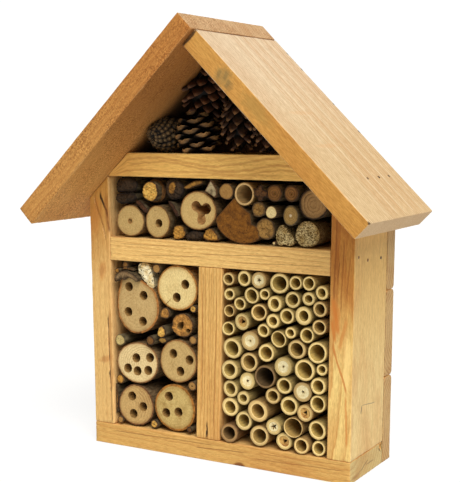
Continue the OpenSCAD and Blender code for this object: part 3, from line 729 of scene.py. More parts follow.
board("divider_board", (DIVIDER_HEIGHT, 22, DEPTH), (2.2, 0.5, 2.4), place_divider, pine,
      seed=41, rough=0.10, edge=0.4,
      cracks=[(-6, 9.8, 13, 10.8, 0.42, 3.0), (20, 5.5, 139, 4.6, 0.25, 0.5),
              (10, 16.5, 120, 17.5, 0.22, 0.4)])

# ------------------------------------------------------------------ roof
LEFT_RUN, RIGHT_RUN = 201.0, 198.5  # length down each slope
LEFT_THICK, RIGHT_THICK = 17.5, 16.5
LEFT_ROOF_Y, RIGHT_ROOF_Y = FRONT_Y - 53, FRONT_Y - 47.5  # front edges
LEFT_LAP = RIGHT_THICK / math.sin(2 * ROOF_PITCH)  # the left board runs on over the right one
RIGHT_LENGTH = RIGHT_RUN - RIGHT_THICK / math.tan(2 * ROOF_PITCH)
RIDGE = RIGHT_LENGTH * MM


def place_left_roof(a, b, c):
    run = a - LEFT_RUN
    return columns(run * ROOF_COS - c * ROOF_SIN, LEFT_ROOF_Y + b,
                   APEX_Z + run * ROOF_SIN + c * ROOF_COS)


def place_right_roof(a, b, c):
    run = RIGHT_RUN - a
    return columns(run * ROOF_COS + c * ROOF_SIN, RIGHT_ROOF_Y + b,
                   APEX_Z - run * ROOF_SIN + c * ROOF_COS)


LEFT_UNDERSIDE, LEFT_RIDGE_END = (ROOF_SIN, 0, -ROOF_COS), (ROOF_COS, 0, ROOF_SIN)
pine = wood(
    "pine_roof_left", (224, 176, 116), (176, 112, 54), pith=(0.30, -0.12), spacing=0.0021,
    wobble=0.003, contrast=0.35, fibre=0.16, sharpness=2.0, tilt=(0.0, 0.0), blotch=0.12,
    seed=0.43, torn=0.85, dashes=0.4, end_grain=0.30, specks=0.5, end_rings=1.0,
    # a wide, nearly black band along the underside inside the gable beside the cones: painted shadow
    lines=[("c0", 0.078, 0.087, 0.21, 0.089, 0.035, (0.030, 0.017, 0.008), 0.86)]
    + [("a1", 0.003 + 0.0052 * k, 0.002, 0.0065 + 0.0052 * k, 0.0155, 0.0007,
        srgb(172, 112, 78), 0.45) for k in range(25)],
    # front, underside and ridge end multiplied apart for their tone and painted light and shade; the
    # underside darkens towards the ridge as painted shade
    tints=[(FRONT, srgb(250, 214, 176), 0.85),
           (LEFT_UNDERSIDE, srgb(232, 190, 150), 0.8),
           (FRONT, (0.77, 0.88, 0.79), 1.0, (0, 0.07, 0.18, (0.70, 0.69, 0.53))),
           (LEFT_UNDERSIDE, (1.10, 1.48, 1.60), 1.0, (0, 0.03, 0.165, (0.64, 0.70, 0.66))),
           (LEFT_RIDGE_END, (1.10, 1.40, 2.05), 1.0)])
board("left_roof_board", (LEFT_RUN + LEFT_LAP, REAR_Y - LEFT_ROOF_Y, LEFT_THICK),
      (2.6, 1.5, 0.55), place_left_roof, pine, seed=51, rough=0.12, wave=0.35,
      edge=0.55)

# the grain lines down the right slope, as distances back from the board's front edge
SLOPE_LINES = (0.041, 0.049, 0.055, 0.060, 0.066, 0.0705, 0.076, 0.083, 0.0875, 0.093, 0.099,
               0.1045, 0.111, 0.117, 0.122)
slope_lines = [
    ("c1", 0.003, across + 0.0006 * (k % 3), 0.21, across + 0.0010 * ((k * 2) % 3),
     0.0007 + 0.0003 * (k % 2), srgb(206, 156, 104) if k % 3 else srgb(255, 240, 208),
     0.38 + 0.15 * (k % 3)) for k, across in enumerate(SLOPE_LINES)]
edge_lines = [
    ("b0", 0.1490 + 0.0052 * k, 0.003 + 0.003 * (k % 2), 0.1500 + 0.0056 * k,
     0.0135 - 0.003 * ((k + 1) % 2), 0.0022, srgb(112, 100, 62), 0.42) for k in range(3)]
ridge_lines = [
    ("b0", RIDGE - 0.0010, -0.003, RIDGE - 0.0014, 0.0185, 0.0015, (0.060, 0.030, 0.014), 0.9),
    ("c1", RIDGE - 0.0004, 0.001, RIDGE - 0.0006, 0.128, 0.0011, srgb(112, 66, 36), 0.75)]
pine = wood(
    "pine_roof_right", (250, 224, 184), (206, 152, 96), pith=(0.30, 0.030), spacing=0.0033,
    wobble=0.0030, contrast=0.40, fibre=0.07, sharpness=2.2, tilt=(0.004, 0.0), blotch=0.08,
    seed=0.57, dashes=0.5, end_grain=0.15, specks=0.26, bump=0.9,
    lines=slope_lines + edge_lines + ridge_lines,
    # front, top and eave end multiplied apart for their tone and painted light and shade; the top
    # grows lighter towards the ridge
    tints=[(FRONT, srgb(236, 182, 112), 1.0),
           (FRONT, (0.71, 0.81, 0.76), 1.0, (0, 0.03, 0.15, (0.76, 0.91, 0.95))),
           ((ROOF_SIN, 0, ROOF_COS), (0.76, 0.72, 0.63), 1.0,
            (0, 0.04, 0.19, (0.82, 0.83, 0.88))),
           ((ROOF_COS, 0, -ROOF_SIN), (0.73, 0.70, 0.63), 1.0)],
    spots=[(0.156, 0.0, 0.008, 0.010, 0.004, 0.010, srgb(132, 116, 70), 0.45, 620),
           (0.147, 0.0, 0.006, 0.004, 0.004, 0.006, srgb(84, 78, 52), 0.35, 900)]
    + [(along, 0.1290, 0.0165, 0.0022, 0.0030, 0.004, (0.10, 0.06, 0.03), 1.0, 500)
       for along in (0.181, 0.162, 0.121, 0.089)]
    + [(0.120, 0.0, 0.010, 0.022, 0.004, 0.008, srgb(158, 130, 66), 0.4, 200),
       (0.0, 0.0, 0.0165, 0.0030, 0.003, 0.0022, (0.03, 0.016, 0.008), 0.9, 300),
       (0.075, 0.045, 0.0165, 0.003, 0.03, 0.004, srgb(226, 178, 128), 0.35, 120),
       (0.110, 0.050, 0.0165, 0.003, 0.03, 0.004, srgb(226, 178, 128), 0.3, 120)])
board("right_roof_board", (RIGHT_LENGTH, REAR_Y - RIGHT_ROOF_Y, RIGHT_THICK), (2.6, 1.5, 0.6),
      place_right_roof, pine, seed=53, rough=0.05, edge=0.4,
      dents=[("c1", 44, 68, 0.9, 0.4), ("c1", 44, 88, 0.9, 0.4), ("c1", 44, 108, 0.9, 0.4),
             ("b0", 28, 8, 1.2, -0.5), ("b0", 41, 6, 1.0, -0.4)])

# ------------------------------------------------------------------ back boards
BACK_THICK = 16
BACK_LENGTH = 240.0
BEVEL = 2.6  # V edges between neighbouring back boards
# node and the heart of its tree, from the bottom up
BACK_BOARDS = [("back_board_bottom", (0.036, 0.048)), ("back_board_lower", (0.030, 0.040)),
               ("back_board_middle", (0.040, 0.052)), ("back_board_gable", (0.03, 0.044)),
               ("back_board_peak", (0.02, 0.05))]
# the gable board's round hole: (distance behind the board's front, radius)
HOLE_PROFILE = [(-3.0, 4.0), (15.1, 4.0), (17.1, 5.6), (20.0, 5.6)]
HOLE_Z = 270.5
HOLE_SIDES = 40


def back_placer(bottom):
    """Fits a board between the outer wall lines and under the roof."""
    def place(a, b, c):
        z = bottom + b
        roof = np.maximum((APEX_Z - z) / ROOF_TAN - 0.1, 0.3)
        left = np.maximum(wall_x(-1, HALF_WIDTH, z), -roof)
        right = np.minimum(wall_x(1, HALF_WIDTH, z), roof)
        return columns(left + (right - left) * a / BACK_LENGTH,
                       BACK_Y + c / BACK_THICK * (REAR_Y - BACK_Y), z)
    return place


def edge_beveller(height, first, last):
    """Thins a board towards the edges it shares with others."""
    def reshape(shape, points):
        none = np.zeros(len(points))
        lower = none if first else np.clip(BEVEL - points[:, 1], 0, BEVEL)
        upper = none if last else np.clip(BEVEL - (height - points[:, 1]), 0, BEVEL)
        cut = np.maximum(lower, upper)
        shape = shape.copy()
        shape[:, 2] = cut + shape[:, 2] / BACK_THICK * (BACK_THICK - 2 * cut)
        return shape
    return reshape


def cut_round_hole(item, bottom):
    """Cuts the stepped round hole right through the gable board."""
    angle = turn(HOLE_SIDES)
    rings = [columns(radius * np.cos(angle), BACK_Y + back, HOLE_Z + radius * np.sin(angle))
             for back, radius in HOLE_PROFILE]
    faces = []
    for k in range(1, len(rings)):
        near, far = (k - 1) * HOLE_SIDES, k * HOLE_SIDES
        for i in range(HOLE_SIDES):
            j = (i + 1) % HOLE_SIDES
            faces.append([near + i, near + j, far + j, far + i])
    last = (len(rings) - 1) * HOLE_SIDES
    faces += [list(range(HOLE_SIDES)), [last + i for i in range(HOLE_SIDES)][::-1]]
    cutter = mesh_object("cut_tmp", np.concatenate(rings), faces, smooth=False)
    cut = item.modifiers.new("hole", "BOOLEAN")
    cut.operation, cut.solver, cut.object = "DIFFERENCE", "EXACT", cutter
    bpy.context.view_layer.update()
    evaluated = item.evaluated_get(bpy.context.evaluated_depsgraph_get())
    mesh = bpy.data.meshes.new_from_object(evaluated)
    item.modifiers.clear()
    item.data = mesh
    bpy.data.objects.remove(cutter)
    # positions are worked out again for the new vertices; the second name covers a mesh that
    # came back without a usable "gl"
    points = np.array([vertex.co for vertex in mesh.vertices])
    attribute = mesh.attributes.get("gl")
    if attribute is None or attribute.domain != "POINT":
        attribute = mesh.attributes.new("gl2", "FLOAT_VECTOR", "POINT")
    values = (points - [-0.12, BACK_Y * MM, bottom * MM])[:, [0, 2, 1]]
    attribute.data.foreach_set("vector", values.astype(np.float32).ravel())
    sharpen(item, 40)


for i, (node, pith) in enumerate(BACK_BOARDS):
    low, high = node_box(node)
    height = high[2] - low[2]
    last = i == len(BACK_BOARDS) - 1
    knots = () if last else [(0.06 + 0.037 * i, 0.024 + 0.008 * (i % 2), 0.016, 0.0045, 0.8)]
    pine = wood("pine_" + node, (232, 190, 126), (176, 116, 60), pith=pith, spacing=0.0037,
                wobble=0.004, contrast=0.75, fibre=0.13, sharpness=2.2,
                tilt=(0.02 * (-1) ** i, 0.015), blotch=0.14, seed=0.11 * (i + 1), knots=knots,
                # front faces show only inside the house and are painted nearly black as its shade;
                # right ends get a face tint of tone and painted shade
                end_grain=0.2, tints=[(FRONT, (0.16, 0.12, 0.08), 1.0),
                                      (RIGHT, (0.82, 0.91, 1.0), 1.0)])
    item = board(node, (BACK_LENGTH, height, BACK_THICK), (4.0, 1.3, 1.0), back_placer(low[2]),
                 pine, seed=61 + i, rough=0.10, wave=0.2, edge=0.4,
                 reshape=edge_beveller(height, i == 0, last))
    if node == "back_board_gable":
        cut_round_hole(item, low[2])


# ------------------------------------------------------------------ nails
def nail_shader():
    shader = Shader("dull_nail")
    position = shader.node("ShaderNodeTexCoord", output="Object")
    grain = position.noise(900, rough=0.6)
    rust = position.noise(220, detail=2)
    colour = rust.remap(0.35, 0.65).mix(srgb(74, 64, 56), srgb(128, 84, 54))
    return shader.surface(colour, grain.remap(0.3, 0.7, 0.35, 0.7), grain, strength=0.4,
                          distance=0.0001, specular=0.5, metallic=0.75)


nail = nail_shader()
for group in ("roof", "ridge", "base", "shelf", "divider", "back"):
    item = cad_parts[group + "_nails"]
    item.data.materials.clear()
    item.data.materials.append(nail)
    bevel = item.modifiers.new("soft_edges", "BEVEL")
    bevel.width, bevel.segments, bevel.limit_method = 0.00015, 2, "ANGLE"


# ------------------------------------------------------------------ log, stick and bark shaders
def log_shader(name, gain, light, dark, bark, ring, contrast, blotch, rim, rays,
               bore=(136, 104, 58), heart=None, saw=0.42, specks=0.3, speck_scale=1300,
               broken=0.0):
    """A cut face, bark and drilled walls.

    zone: 0 sawn face, 1 bark, 2 drilled wall. rad: metres from the pith. edge: metres in from
    the rim. heart: (radius, colour) of a differently coloured core.
    """
    light, dark = scale(srgb(*light), gain), scale(srgb(*dark), gain)
    bark, bore = srgb(*bark), srgb(*bore)
    shader = Shader(name)
    position = shader.position()
    zone, radius, edge, angle, tint = [shader.attribute(key)
                                       for key in ("zone", "rad", "edge", "ang", "tint")]
    # growth rings and blotches
    wobble = (position.noise(90, detail=2) - 0.5) * (ring * 1.6)
    phase = ((radius + wobble) / ring).math("FRACT")
    late = phase ** 2.5 * phase.remap(0.9, 1.0, 1.0, 0.0)
    late = late * position.noise(60, detail=2).remap(0.35, 0.65, 0.2, 1.2)
    face = (late * contrast).mix(light, dark)
    blotches = position.noise(130, rough=0.6, distortion=0.5)
    face = face.cover(blotches.remap(0.42, 0.8) * blotch, dark)
    if heart is not None:
        inner = radius.remap(heart[0] * 0.7, heart[0] * 1.3, 1.0, 0.0)
        face = face.cover(inner, srgb(*heart[1]))
    # rays and torn fibres of the saw cut
    polar = shader.node("ShaderNodeCombineXYZ", {0: angle * 26.0, 1: radius * 120.0, 2: 0.0})
    ray_shade = polar.noise(rough=0.7).remap(0.25, 0.75, 0.82, 1.12, "LINEAR")
    face = face.multiply(rays, ray_shade.grey())
    sawn = (position * (1050.0, 600.0, 700.0)).noise(rough=0.75)
    face = face.multiply(saw, sawn.remap(0.32, 0.66).mix((0.60, 0.54, 0.44), (1.24, 1.27, 1.32)))
    if broken:
        # crevices and bright splinters of torn wood
        tears = (position * (330.0, 200.0, 330.0)).noise(rough=0.6, distortion=1.2)
        face = face.cover(tears.remap(0.50, 0.60) * broken, scale(dark, 0.16))
        face = face.cover(tears.remap(0.44, 0.34) * (broken * 0.6), scale(light, 1.3))
    dots = position.cells(speck_scale).remap(0.13, 0.24, 1.0, 0.0)
    dots = dots * (position.noise(300, detail=2).remap(0.45, 0.65) * specks)
    face = face.cover(dots, scale(dark, 0.35))
    # darker towards the rim, then the bark line
    face = face.cover(edge.remap(rim * 1.0, rim * 3.2, 0.45, 0.0), dark)
    ragged = edge + (position.noise(420, rough=0.7) - 0.5) * (rim * 1.1)
    rim_colour = position.noise(300, detail=2).remap(0.35, 0.65).mix(scale(bark, 0.45),
                                                                     scale(bark, 0.9))
    face = face.cover(ragged.remap(rim * 0.75, rim * 1.15, 1.0, 0.0), rim_colour)
    # bark
    ridges = (position * (520.0, 110.0, 520.0)).noise(detail=4, rough=0.65)
    patches = position.noise(240, rough=0.6)
    low = tuple(c * 0.16 + lift for c, lift in zip(bark, (0.030, 0.021, 0.011)))
    high = tuple(c * 0.42 + lift for c, lift in zip(bark, (0.120, 0.095, 0.050)))
    skin = ridges.remap(0.3, 0.7).mix(low, high)
    skin = skin.cover(patches.remap(0.5, 0.72) * 0.4, (0.20, 0.165, 0.095))
    on_bark = zone.remap(0.35, 0.65)
    colour = on_bark.mix(face, skin)
    # drilled walls
    streaks = (position * (700.0, 120.0, 700.0)).noise(rough=0.65)
    wall = streaks.remap(0.3, 0.7).mix(bore, scale(bore, 1.7))
    colour = colour.cover(zone.remap(1.45, 1.6), wall).multiply(1.0, tint.grey())
    height = sawn * 0.5 + ridges * (on_bark * 2.2)
    height = height + late * 0.3
    return shader.surface(colour, 0.72, height, strength=0.6, distance=0.0005, specular=0.2)


PLAIN_GAIN = (0.85, 0.83, 0.72)
# name: gain on the cut face, its light and dark sRGB colours, bark sRGB,
#       ring spacing (m), ring contrast, blotches, rim width (m), rays, other settings
LOG_SHADERS = {
    "log_pear": ((0.76, 0.73, 0.60), (222, 192, 142), (172, 130, 80), (186, 124, 62),
                 0.0030, 0.35, 0.35, 0.0016, 0.45, {}),
    "log_cream": ((0.92, 0.94, 0.84), (240, 214, 158), (200, 156, 92), (190, 130, 60),
                  0.0022, 0.35, 0.25, 0.0013, 0.55, dict(saw=0.4)),
    "log_ringed": ((0.92, 0.93, 0.84), (234, 208, 160), (170, 130, 84), (150, 104, 60),
                   0.0021, 0.6, 0.2, 0.0010, 0.4, {}),
    "log_plain": ((0.80, 0.77, 0.64), (220, 190, 136), (168, 130, 78), (160, 112, 62),
                  0.0030, 0.35, 0.35, 0.0010, 0.45, {}),
    "log_tan": ((0.85, 0.81, 0.64), (212, 180, 130), (150, 108, 66), (126, 84, 50),
                0.0024, 0.7, 0.3, 0.0012, 0.35, {}),
    "log_yellow": ((0.78, 0.79, 0.72), (226, 196, 130), (168, 126, 62), (184, 124, 54),
                   0.0026, 0.4, 0.6, 0.0018, 0.85, {}),
    "log_pith": ((0.72, 0.66, 0.50), (224, 198, 146), (176, 140, 90), (140, 98, 52),
                 0.0018, 0.3, 0.25, 0.0008, 0.45,
                 dict(heart=(0.0026, (168, 128, 72)), saw=0.45)),
    "log_trefoil": ((0.82, 0.79, 0.63), (222, 192, 138), (176, 136, 84), (142, 98, 52),
                    0.0021, 0.3, 0.3, 0.0009, 0.45, dict(bore=(160, 122, 74), saw=0.4)),
    "stick_tan": ((0.66, 0.56, 0.40), (206, 170, 112), (150, 108, 62), (96, 70, 46),
                  0.0012, 0.4, 0.3, 0.0006, 0.5, {}),
    "stick_dark": ((0.58, 0.50, 0.36), (166, 124, 74), (82, 54, 30), (70, 50, 32),
                   0.0019, 1.0, 0.5, 0.0008, 0.5, {}),
    "stick_yellow": ((0.90, 0.84, 0.66), (238, 200, 116), (176, 124, 54), (84, 62, 42),
                     0.0016, 0.3, 0.7, 0.0009, 0.5, dict(saw=0.5, specks=0.8, broken=0.45)),
    "stick_cream": ((0.95, 0.92, 0.74), (244, 226, 182), (214, 180, 124), (90, 56, 36),
                    0.0010, 0.2, 0.1, 0.0005, 0.3, {}),
    "stick_grey": ((1.42, 1.26, 0.80), (150, 128, 92), (92, 76, 52), (96, 82, 60),
                   0.0014, 0.65, 0.4, 0.0008, 0.5, dict(heart=(0.0011, (226, 214, 184)))),
    "stick_corner": ((1, 1, 1), (172, 134, 84), (72, 50, 28), (64, 46, 30),
                     0.0030, 1.0, 0.3, 0.0012, 0.6, {}),
    "stick_fibrous": ((1.20, 1.12, 0.78), (160, 126, 80), (92, 66, 38), (104, 80, 52),
                      0.0013, 0.45, 0.8, 0.0009, 0.8, dict(saw=0.6, specks=0.9, broken=0.5)),
    "stick_lichen": ((1.0, 0.88, 0.64), (206, 196, 152), (140, 122, 84), (110, 96, 66),
                     0.0012, 0.5, 0.6, 0.0006, 1.0, dict(saw=0.7, specks=0.9)),
    "wood_rotten": ((0.85, 0.82, 0.70), (74, 56, 40), (38, 28, 20), (46, 34, 26),
                    0.0022, 0.5, 0.8, 0.0012, 0.5, dict(saw=0.6, specks=0.6, broken=0.5)),
    "wood_wedge": ((0.56, 0.48, 0.24), (176, 122, 58), (98, 60, 27), (120, 82, 44),
                   0.0052, 0.50, 1.2, 0.0005, 0.7, dict(saw=0.7, specks=2.6, speck_scale=620)),
    "wood_gold": ((0.95, 0.86, 0.62), (204, 158, 82), (120, 80, 36), (96, 66, 36),
                  0.0021, 0.5, 0.9, 0.0007, 0.9, dict(saw=0.3, specks=0.3, broken=0.45)),
    "wood_brown": ((1.55, 1.50, 0.98), (168, 122, 72), (84, 56, 31), (84, 60, 38),
                   0.0018, 0.8, 0.9, 0.0009, 0.8, dict(saw=0.5, specks=0.4, broken=0.32)),
    "bark_red": (PLAIN_GAIN, (98, 62, 36), (50, 30, 18), (66, 40, 25),
                 0.0012, 0.5, 0.6, 0.0007, 0.6, dict(saw=0.5, specks=0.7, broken=0.6)),
    "bark_lump": (PLAIN_GAIN, (150, 124, 92), (72, 56, 40), (84, 66, 46),
                  0.0019, 0.8, 1.0, 0.0008, 0.8, dict(saw=0.6, specks=0.6, broken=0.25)),
    "bark_knob": (PLAIN_GAIN, (124, 84, 50), (44, 28, 17), (58, 38, 25),
                  0.0016, 0.8, 1.0, 0.0008, 0.8, dict(saw=0.3, specks=0.5, broken=0.6)),
    "splinter_pale": (PLAIN_GAIN, (196, 180, 148), (112, 94, 68), (104, 66, 40),
                      0.0016, 0.8, 0.9, 0.0006, 0.8, dict(saw=0.7, specks=0.9, broken=0.4)),
}


def lichen_shader():
    """Pale crust broken by dark pits."""
    shader = Shader("lichen_crust")
    position = shader.position()
    pits = position.cells(1050)
    grain = position.noise(820, detail=4, rough=0.7)
    patches = position.noise(160, detail=2).remap(0.35, 0.65)
    colour = patches.mix(srgb(230, 208, 152), srgb(190, 162, 104))
    colour = colour.cover(pits.remap(0.40, 0.72), srgb(112, 88, 52))
    colour = colour.cover(grain.remap(0.56, 0.68) * 0.85, srgb(56, 42, 26))
    side = shader.attribute("zone").remap(0.35, 0.65)
    colour = colour.cover(side * 0.6, srgb(92, 72, 44))
    return shader.surface(colour, 0.85, grain + pits * -1.0, strength=0.9, distance=0.0009,
                          specular=0.1)


def pale_lichen_shader():
    shader = Shader("lichen_pale_crust")
    position = shader.position()
    holes = position.noise(430, detail=4, rough=0.7)
    patches = position.noise(160, detail=2).remap(0.35, 0.65)
    grain = position.noise(1100, detail=2)
    colour = patches.mix(srgb(255, 244, 206), srgb(232, 206, 148))
    colour = colour.cover(grain.remap(0.45, 0.65) * 0.4, srgb(150, 124, 80))
    colour = colour.cover(holes.remap(0.55, 0.62) * 0.95, srgb(44, 34, 22))
    side = shader.attribute("zone").remap(0.35, 0.65)
    colour = colour.cover(side * 0.35, srgb(92, 72, 44))
    return shader.surface(colour, 0.85, holes + grain, strength=0.9, distance=0.0009,
                          specular=0.1)


MATERIALS = {name: log_shader(name, *row[:-1], **row[-1]) for name, row in LOG_SHADERS.items()}
MATERIALS["lichen_crust"] = lichen_shader()
MATERIALS["lichen_pale_crust"] = pale_lichen_shader()


# ------------------------------------------------------------------ outlines in the x-z plane
def inside(points, outline):
    x, z = points[:, 0][:, None], points[:, 1][:, None]
    x0, z0 = outline[:, 0][None], outline[:, 1][None]
    x1, z1 = np.roll(outline[:, 0], -1)[None], np.roll(outline[:, 1], -1)[None]
    crossed = ((z0 > z) != (z1 > z)) & (x < (x1 - x0) * (z - z0) / (z1 - z0 + 1e-12) + x0)
    return crossed.sum(1) % 2 == 1


def rim_distance(points, outline):
    """Distance of each point to the closed outline."""
    best = np.full(len(points), 1e9)
    for start, run in zip(outline, np.roll(outline, -1, 0) - outline):
        part = np.clip(((points - start) @ run) / (run @ run + 1e-12), 0, 1)
        best = np.minimum(best, np.hypot(*(points - start - part[:, None] * run).T))
    return best


def resample(outline, step):
    outline = np.asarray(outline, float)
    points = []
    for start, end in zip(outline, np.roll(outline, -1, 0)):
        count = max(1, int(round(np.hypot(*(end - start)) / step)))
        points += [start + (end - start) * i / count for i in range(count)]
    return np.array(points)


def soften(outline, passes):
    """Cuts the corners of an outline."""
    outline = np.asarray(outline, float)
    for _ in range(passes):
        after = np.roll(outline, -1, 0)
        pair = [outline * 0.75 + after * 0.25, outline * 0.25 + after * 0.75]
        outline = np.stack(pair, 1).reshape(-1, 2)
    return outline


def ellipse(x, z, width, height, lobes, phase, count, seed):
    """An uneven ellipse; lobes is the strength of its three bulges."""
    angle = turn(count)
    bulge = 1 + lobes * np.cos(3 * angle + phase) + 0.012 * round_noise(angle, 1.3, seed, seed, 3)
    return np.stack([x + width / 2 * bulge * np.cos(angle),
                     z + height / 2 * bulge * np.sin(angle)], -1)


def triangulate(loops, points):
    """Triangles inside loops[0] and outside the others, through extra inner points.

    Returns the points, the triangles and the index of each loop point."""
    edges, starts, count = [], [], 0
    for loop in loops:
        edges += [(count + i, count + (i + 1) % len(loop)) for i in range(len(loop))]
        starts.append(np.arange(count, count + len(loop)))
        count += len(loop)
    every = np.concatenate([*loops, points])
    result = geometry.delaunay_2d_cdt([Vector(point) for point in every.tolist()],
                                      edges, [], 0, 1e-6)
    flat = np.array([tuple(point) for point in result[0]])
    new_index = np.full(len(every), -1)
    for i, sources in enumerate(result[3]):
        new_index[list(sources)] = i
    triangles = np.array([list(face) for face in result[2] if len(face) == 3])
    middle = flat[triangles].mean(1)
    keep = inside(middle, loops[0])
    for loop in loops[1:]:
        keep &= ~inside(middle, loop)
    first, second, third = [flat[triangles[:, k]] for k in range(3)]
    one, two = second - first, third - first
    keep &= np.abs(one[:, 0] * two[:, 1] - one[:, 1] * two[:, 0]) > 1e-7
    return flat, triangles[keep], [new_index[start] for start in starts]


# ------------------------------------------------------------------ logs, sticks and lumps
BARK_STATIONS = (0.3, 0.9, 2.0, 3.6, 5.6, 8, 11, 15, 20, 26, 33, 41, 49)  # behind the face
DRILL_STATIONS = (0.25, 0.8, 2.0, 4.5, 9.0, 16.0, 26.0)


class LogSurface:
    """Vertices of one prism, with what its shader reads."""

    def __init__(self, pith):
        self.pith, self.rows, self.faces, self.count = pith, [], [], 0

    def add(self, points, y, zone, edge):
        """Adds points at depth y, edge mm from the rim, and returns their indices."""
        offset = points - self.pith
        self.rows.append(columns(points[:, 0], y, points[:, 1], zone, np.hypot(*offset.T) * MM,
                                 edge * MM, np.arctan2(offset[:, 1], offset[:, 0])))
        self.count += len(points)
        return np.arange(self.count - len(points), self.count)

    def band(self, first, second):
        for i in range(len(first)):
            j = (i + 1) % len(first)
            self.faces.append([first[i], first[j], second[j], second[i]])

    def fan(self, loop, centre):
        for i in range(len(loop)):
            self.faces.append([loop[i], loop[(i + 1) % len(loop)], centre])


def hole_outline(hole, seed):
    """(outline, depth) of a hole given so, or as (x, z, radius, depth)."""
    if len(hole) == 2:
        return hole
    x, z, radius, depth = hole
    angle = turn(30)
    radii = radius * (1 + 0.025 * round_noise(angle, 2, x, seed + 3, 2))
    return np.stack([x + radii * np.cos(angle), z + radii * np.sin(angle)], -1), depth


def lattice(outline, spacing):
    low, high = outline.min(0), outline.max(0)
    axes = [np.arange(low[k], high[k], spacing) for k in (0, 1)]
    return np.stack(np.meshgrid(*axes, indexing="ij"), -1).reshape(-1, 2)


def clear_of(points, outline, holes, rim_gap, hole_gap):
    """Which points lie in the outline and away from its rim and holes."""
    clear = inside(points, outline) & (rim_distance(points, outline) > rim_gap)
    for loop, _ in holes:
        clear &= ~inside(points, loop) & (rim_distance(points, loop) > hole_gap)
    return clear


def distances(points, targets):
    return np.hypot(points[:, None, 0] - targets[None, :, 0],
                    points[:, None, 1] - targets[None, :, 1])


def crack_points(cracks, seed):
    """Points along the middle and both lips of each crack, and their depths."""
    points, depths = [np.zeros((0, 2))], [np.zeros(0)]
    for x0, z0, x1, z1, half_width, depth in cracks:
        run = np.array([x1 - x0, z1 - z0])
        length = math.hypot(x1 - x0, z1 - z0)
        part = np.linspace(0, 1, max(4, int(length / 0.8)))
        direction = run / length
        normal = np.array([-direction[1], direction[0]])
        wander = 0.35 * value_noise(columns(part * 7, x0, z0), seed + 2)
        middle = np.array([x0, z0]) + part[:, None] * run + wander[:, None] * normal
        for side in (-1, 0, 1):
            points.append(middle + side * half_width * normal)
            deepest = 0.0 if side else depth
            depths.append(deepest * np.sin(np.pi * np.clip(part * 0.9 + 0.1, 0, 1)))
    return np.concatenate(points), np.concatenate(depths)


def add_bark(surface, loop, outline, face_y, centre, front, back, bark, bark_scale, seed):
    """The side of a prism, from its face to a closed rear end."""
    offset = outline - centre
    outward = offset / np.hypot(*offset.T)[:, None]
    depth = back - front
    for station in BARK_STATIONS:
        if station < depth - 3:
            ridges = fractal_noise(layer(offset * bark_scale[0], station * bark_scale[1]),
                                   seed + 5, 3)
            growth = min(1.0, 0.35 + station / 2.5)
            relief = np.minimum(bark * (ridges * growth - 0.3 * (station > 0.5)), 0.25)
            part = station / depth
            ring = surface.add(outline + outward * relief[:, None],
                               face_y * (1 - part) + front * part + station,
                               1.0 if station > 0.5 else 0.75, 0)
            surface.band(loop, ring)
            loop = ring
    ring = surface.add(outline - outward * 0.2, back, 1.0, 0)
    surface.band(loop, ring)
    surface.fan(ring, surface.add(centre[None, :], back, 0.0, 5)[0])


def add_hole(surface, loop, outline, face_y, depth, seed):
    """The wall and floor of a hole. depth is a number or a function of the place."""
    shaped = callable(depth)
    depths = depth(outline) if shaped else np.full(len(outline), float(depth))
    centre = outline.mean(0)
    offset = outline - centre
    for station in DRILL_STATIONS:
        deep = np.minimum(station, depths - 0.6 * (30 - station) / 30)
        uneven = 0.06 * fractal_noise(layer(offset * 1.3, station), seed + 11, 2)
        points = centre + offset * (1 - 0.015 * min(station, 1.0) + uneven[:, None] * 0.15)
        ring = surface.add(points, face_y + deep, 2.0 if station > 0.3 else 1.7, 3)
        surface.band(loop[::-1], ring[::-1])
        loop = ring
    bottom = centre + offset * 0.985
    ring = surface.add(bottom, face_y + depths, 2.0, 3)
    surface.band(loop[::-1], ring[::-1])
    if not shaped:
        middle = surface.add(centre[None, :], face_y.mean() + float(depth) + 1.2, 2.0, 3)[0]
        for i in range(len(ring)):
            surface.faces.append([ring[(i + 1) % len(ring)], ring[i], middle])
        return
    grid = lattice(outline, 1.1)
    grid = grid[clear_of(grid, bottom, (), 0.4, 0)]
    flat, triangles, (rim,) = triangulate([bottom], grid)
    # a floor is only laid where the triangulation kept every point apart
    if len(flat) == len(bottom) + len(grid):
        inner = np.setdiff1d(np.arange(len(flat)), rim)
        index = np.zeros(len(flat), int)
        index[rim] = ring
        points = flat[inner]
        relief = 0.5 * fractal_noise(layer(points * 0.9, 0), seed + 13, 2)
        index[inner] = surface.add(points, face_y.mean() + depth(points) + relief, 2.0, 3)
        surface.faces += [list(index[triangle]) for triangle in triangles]


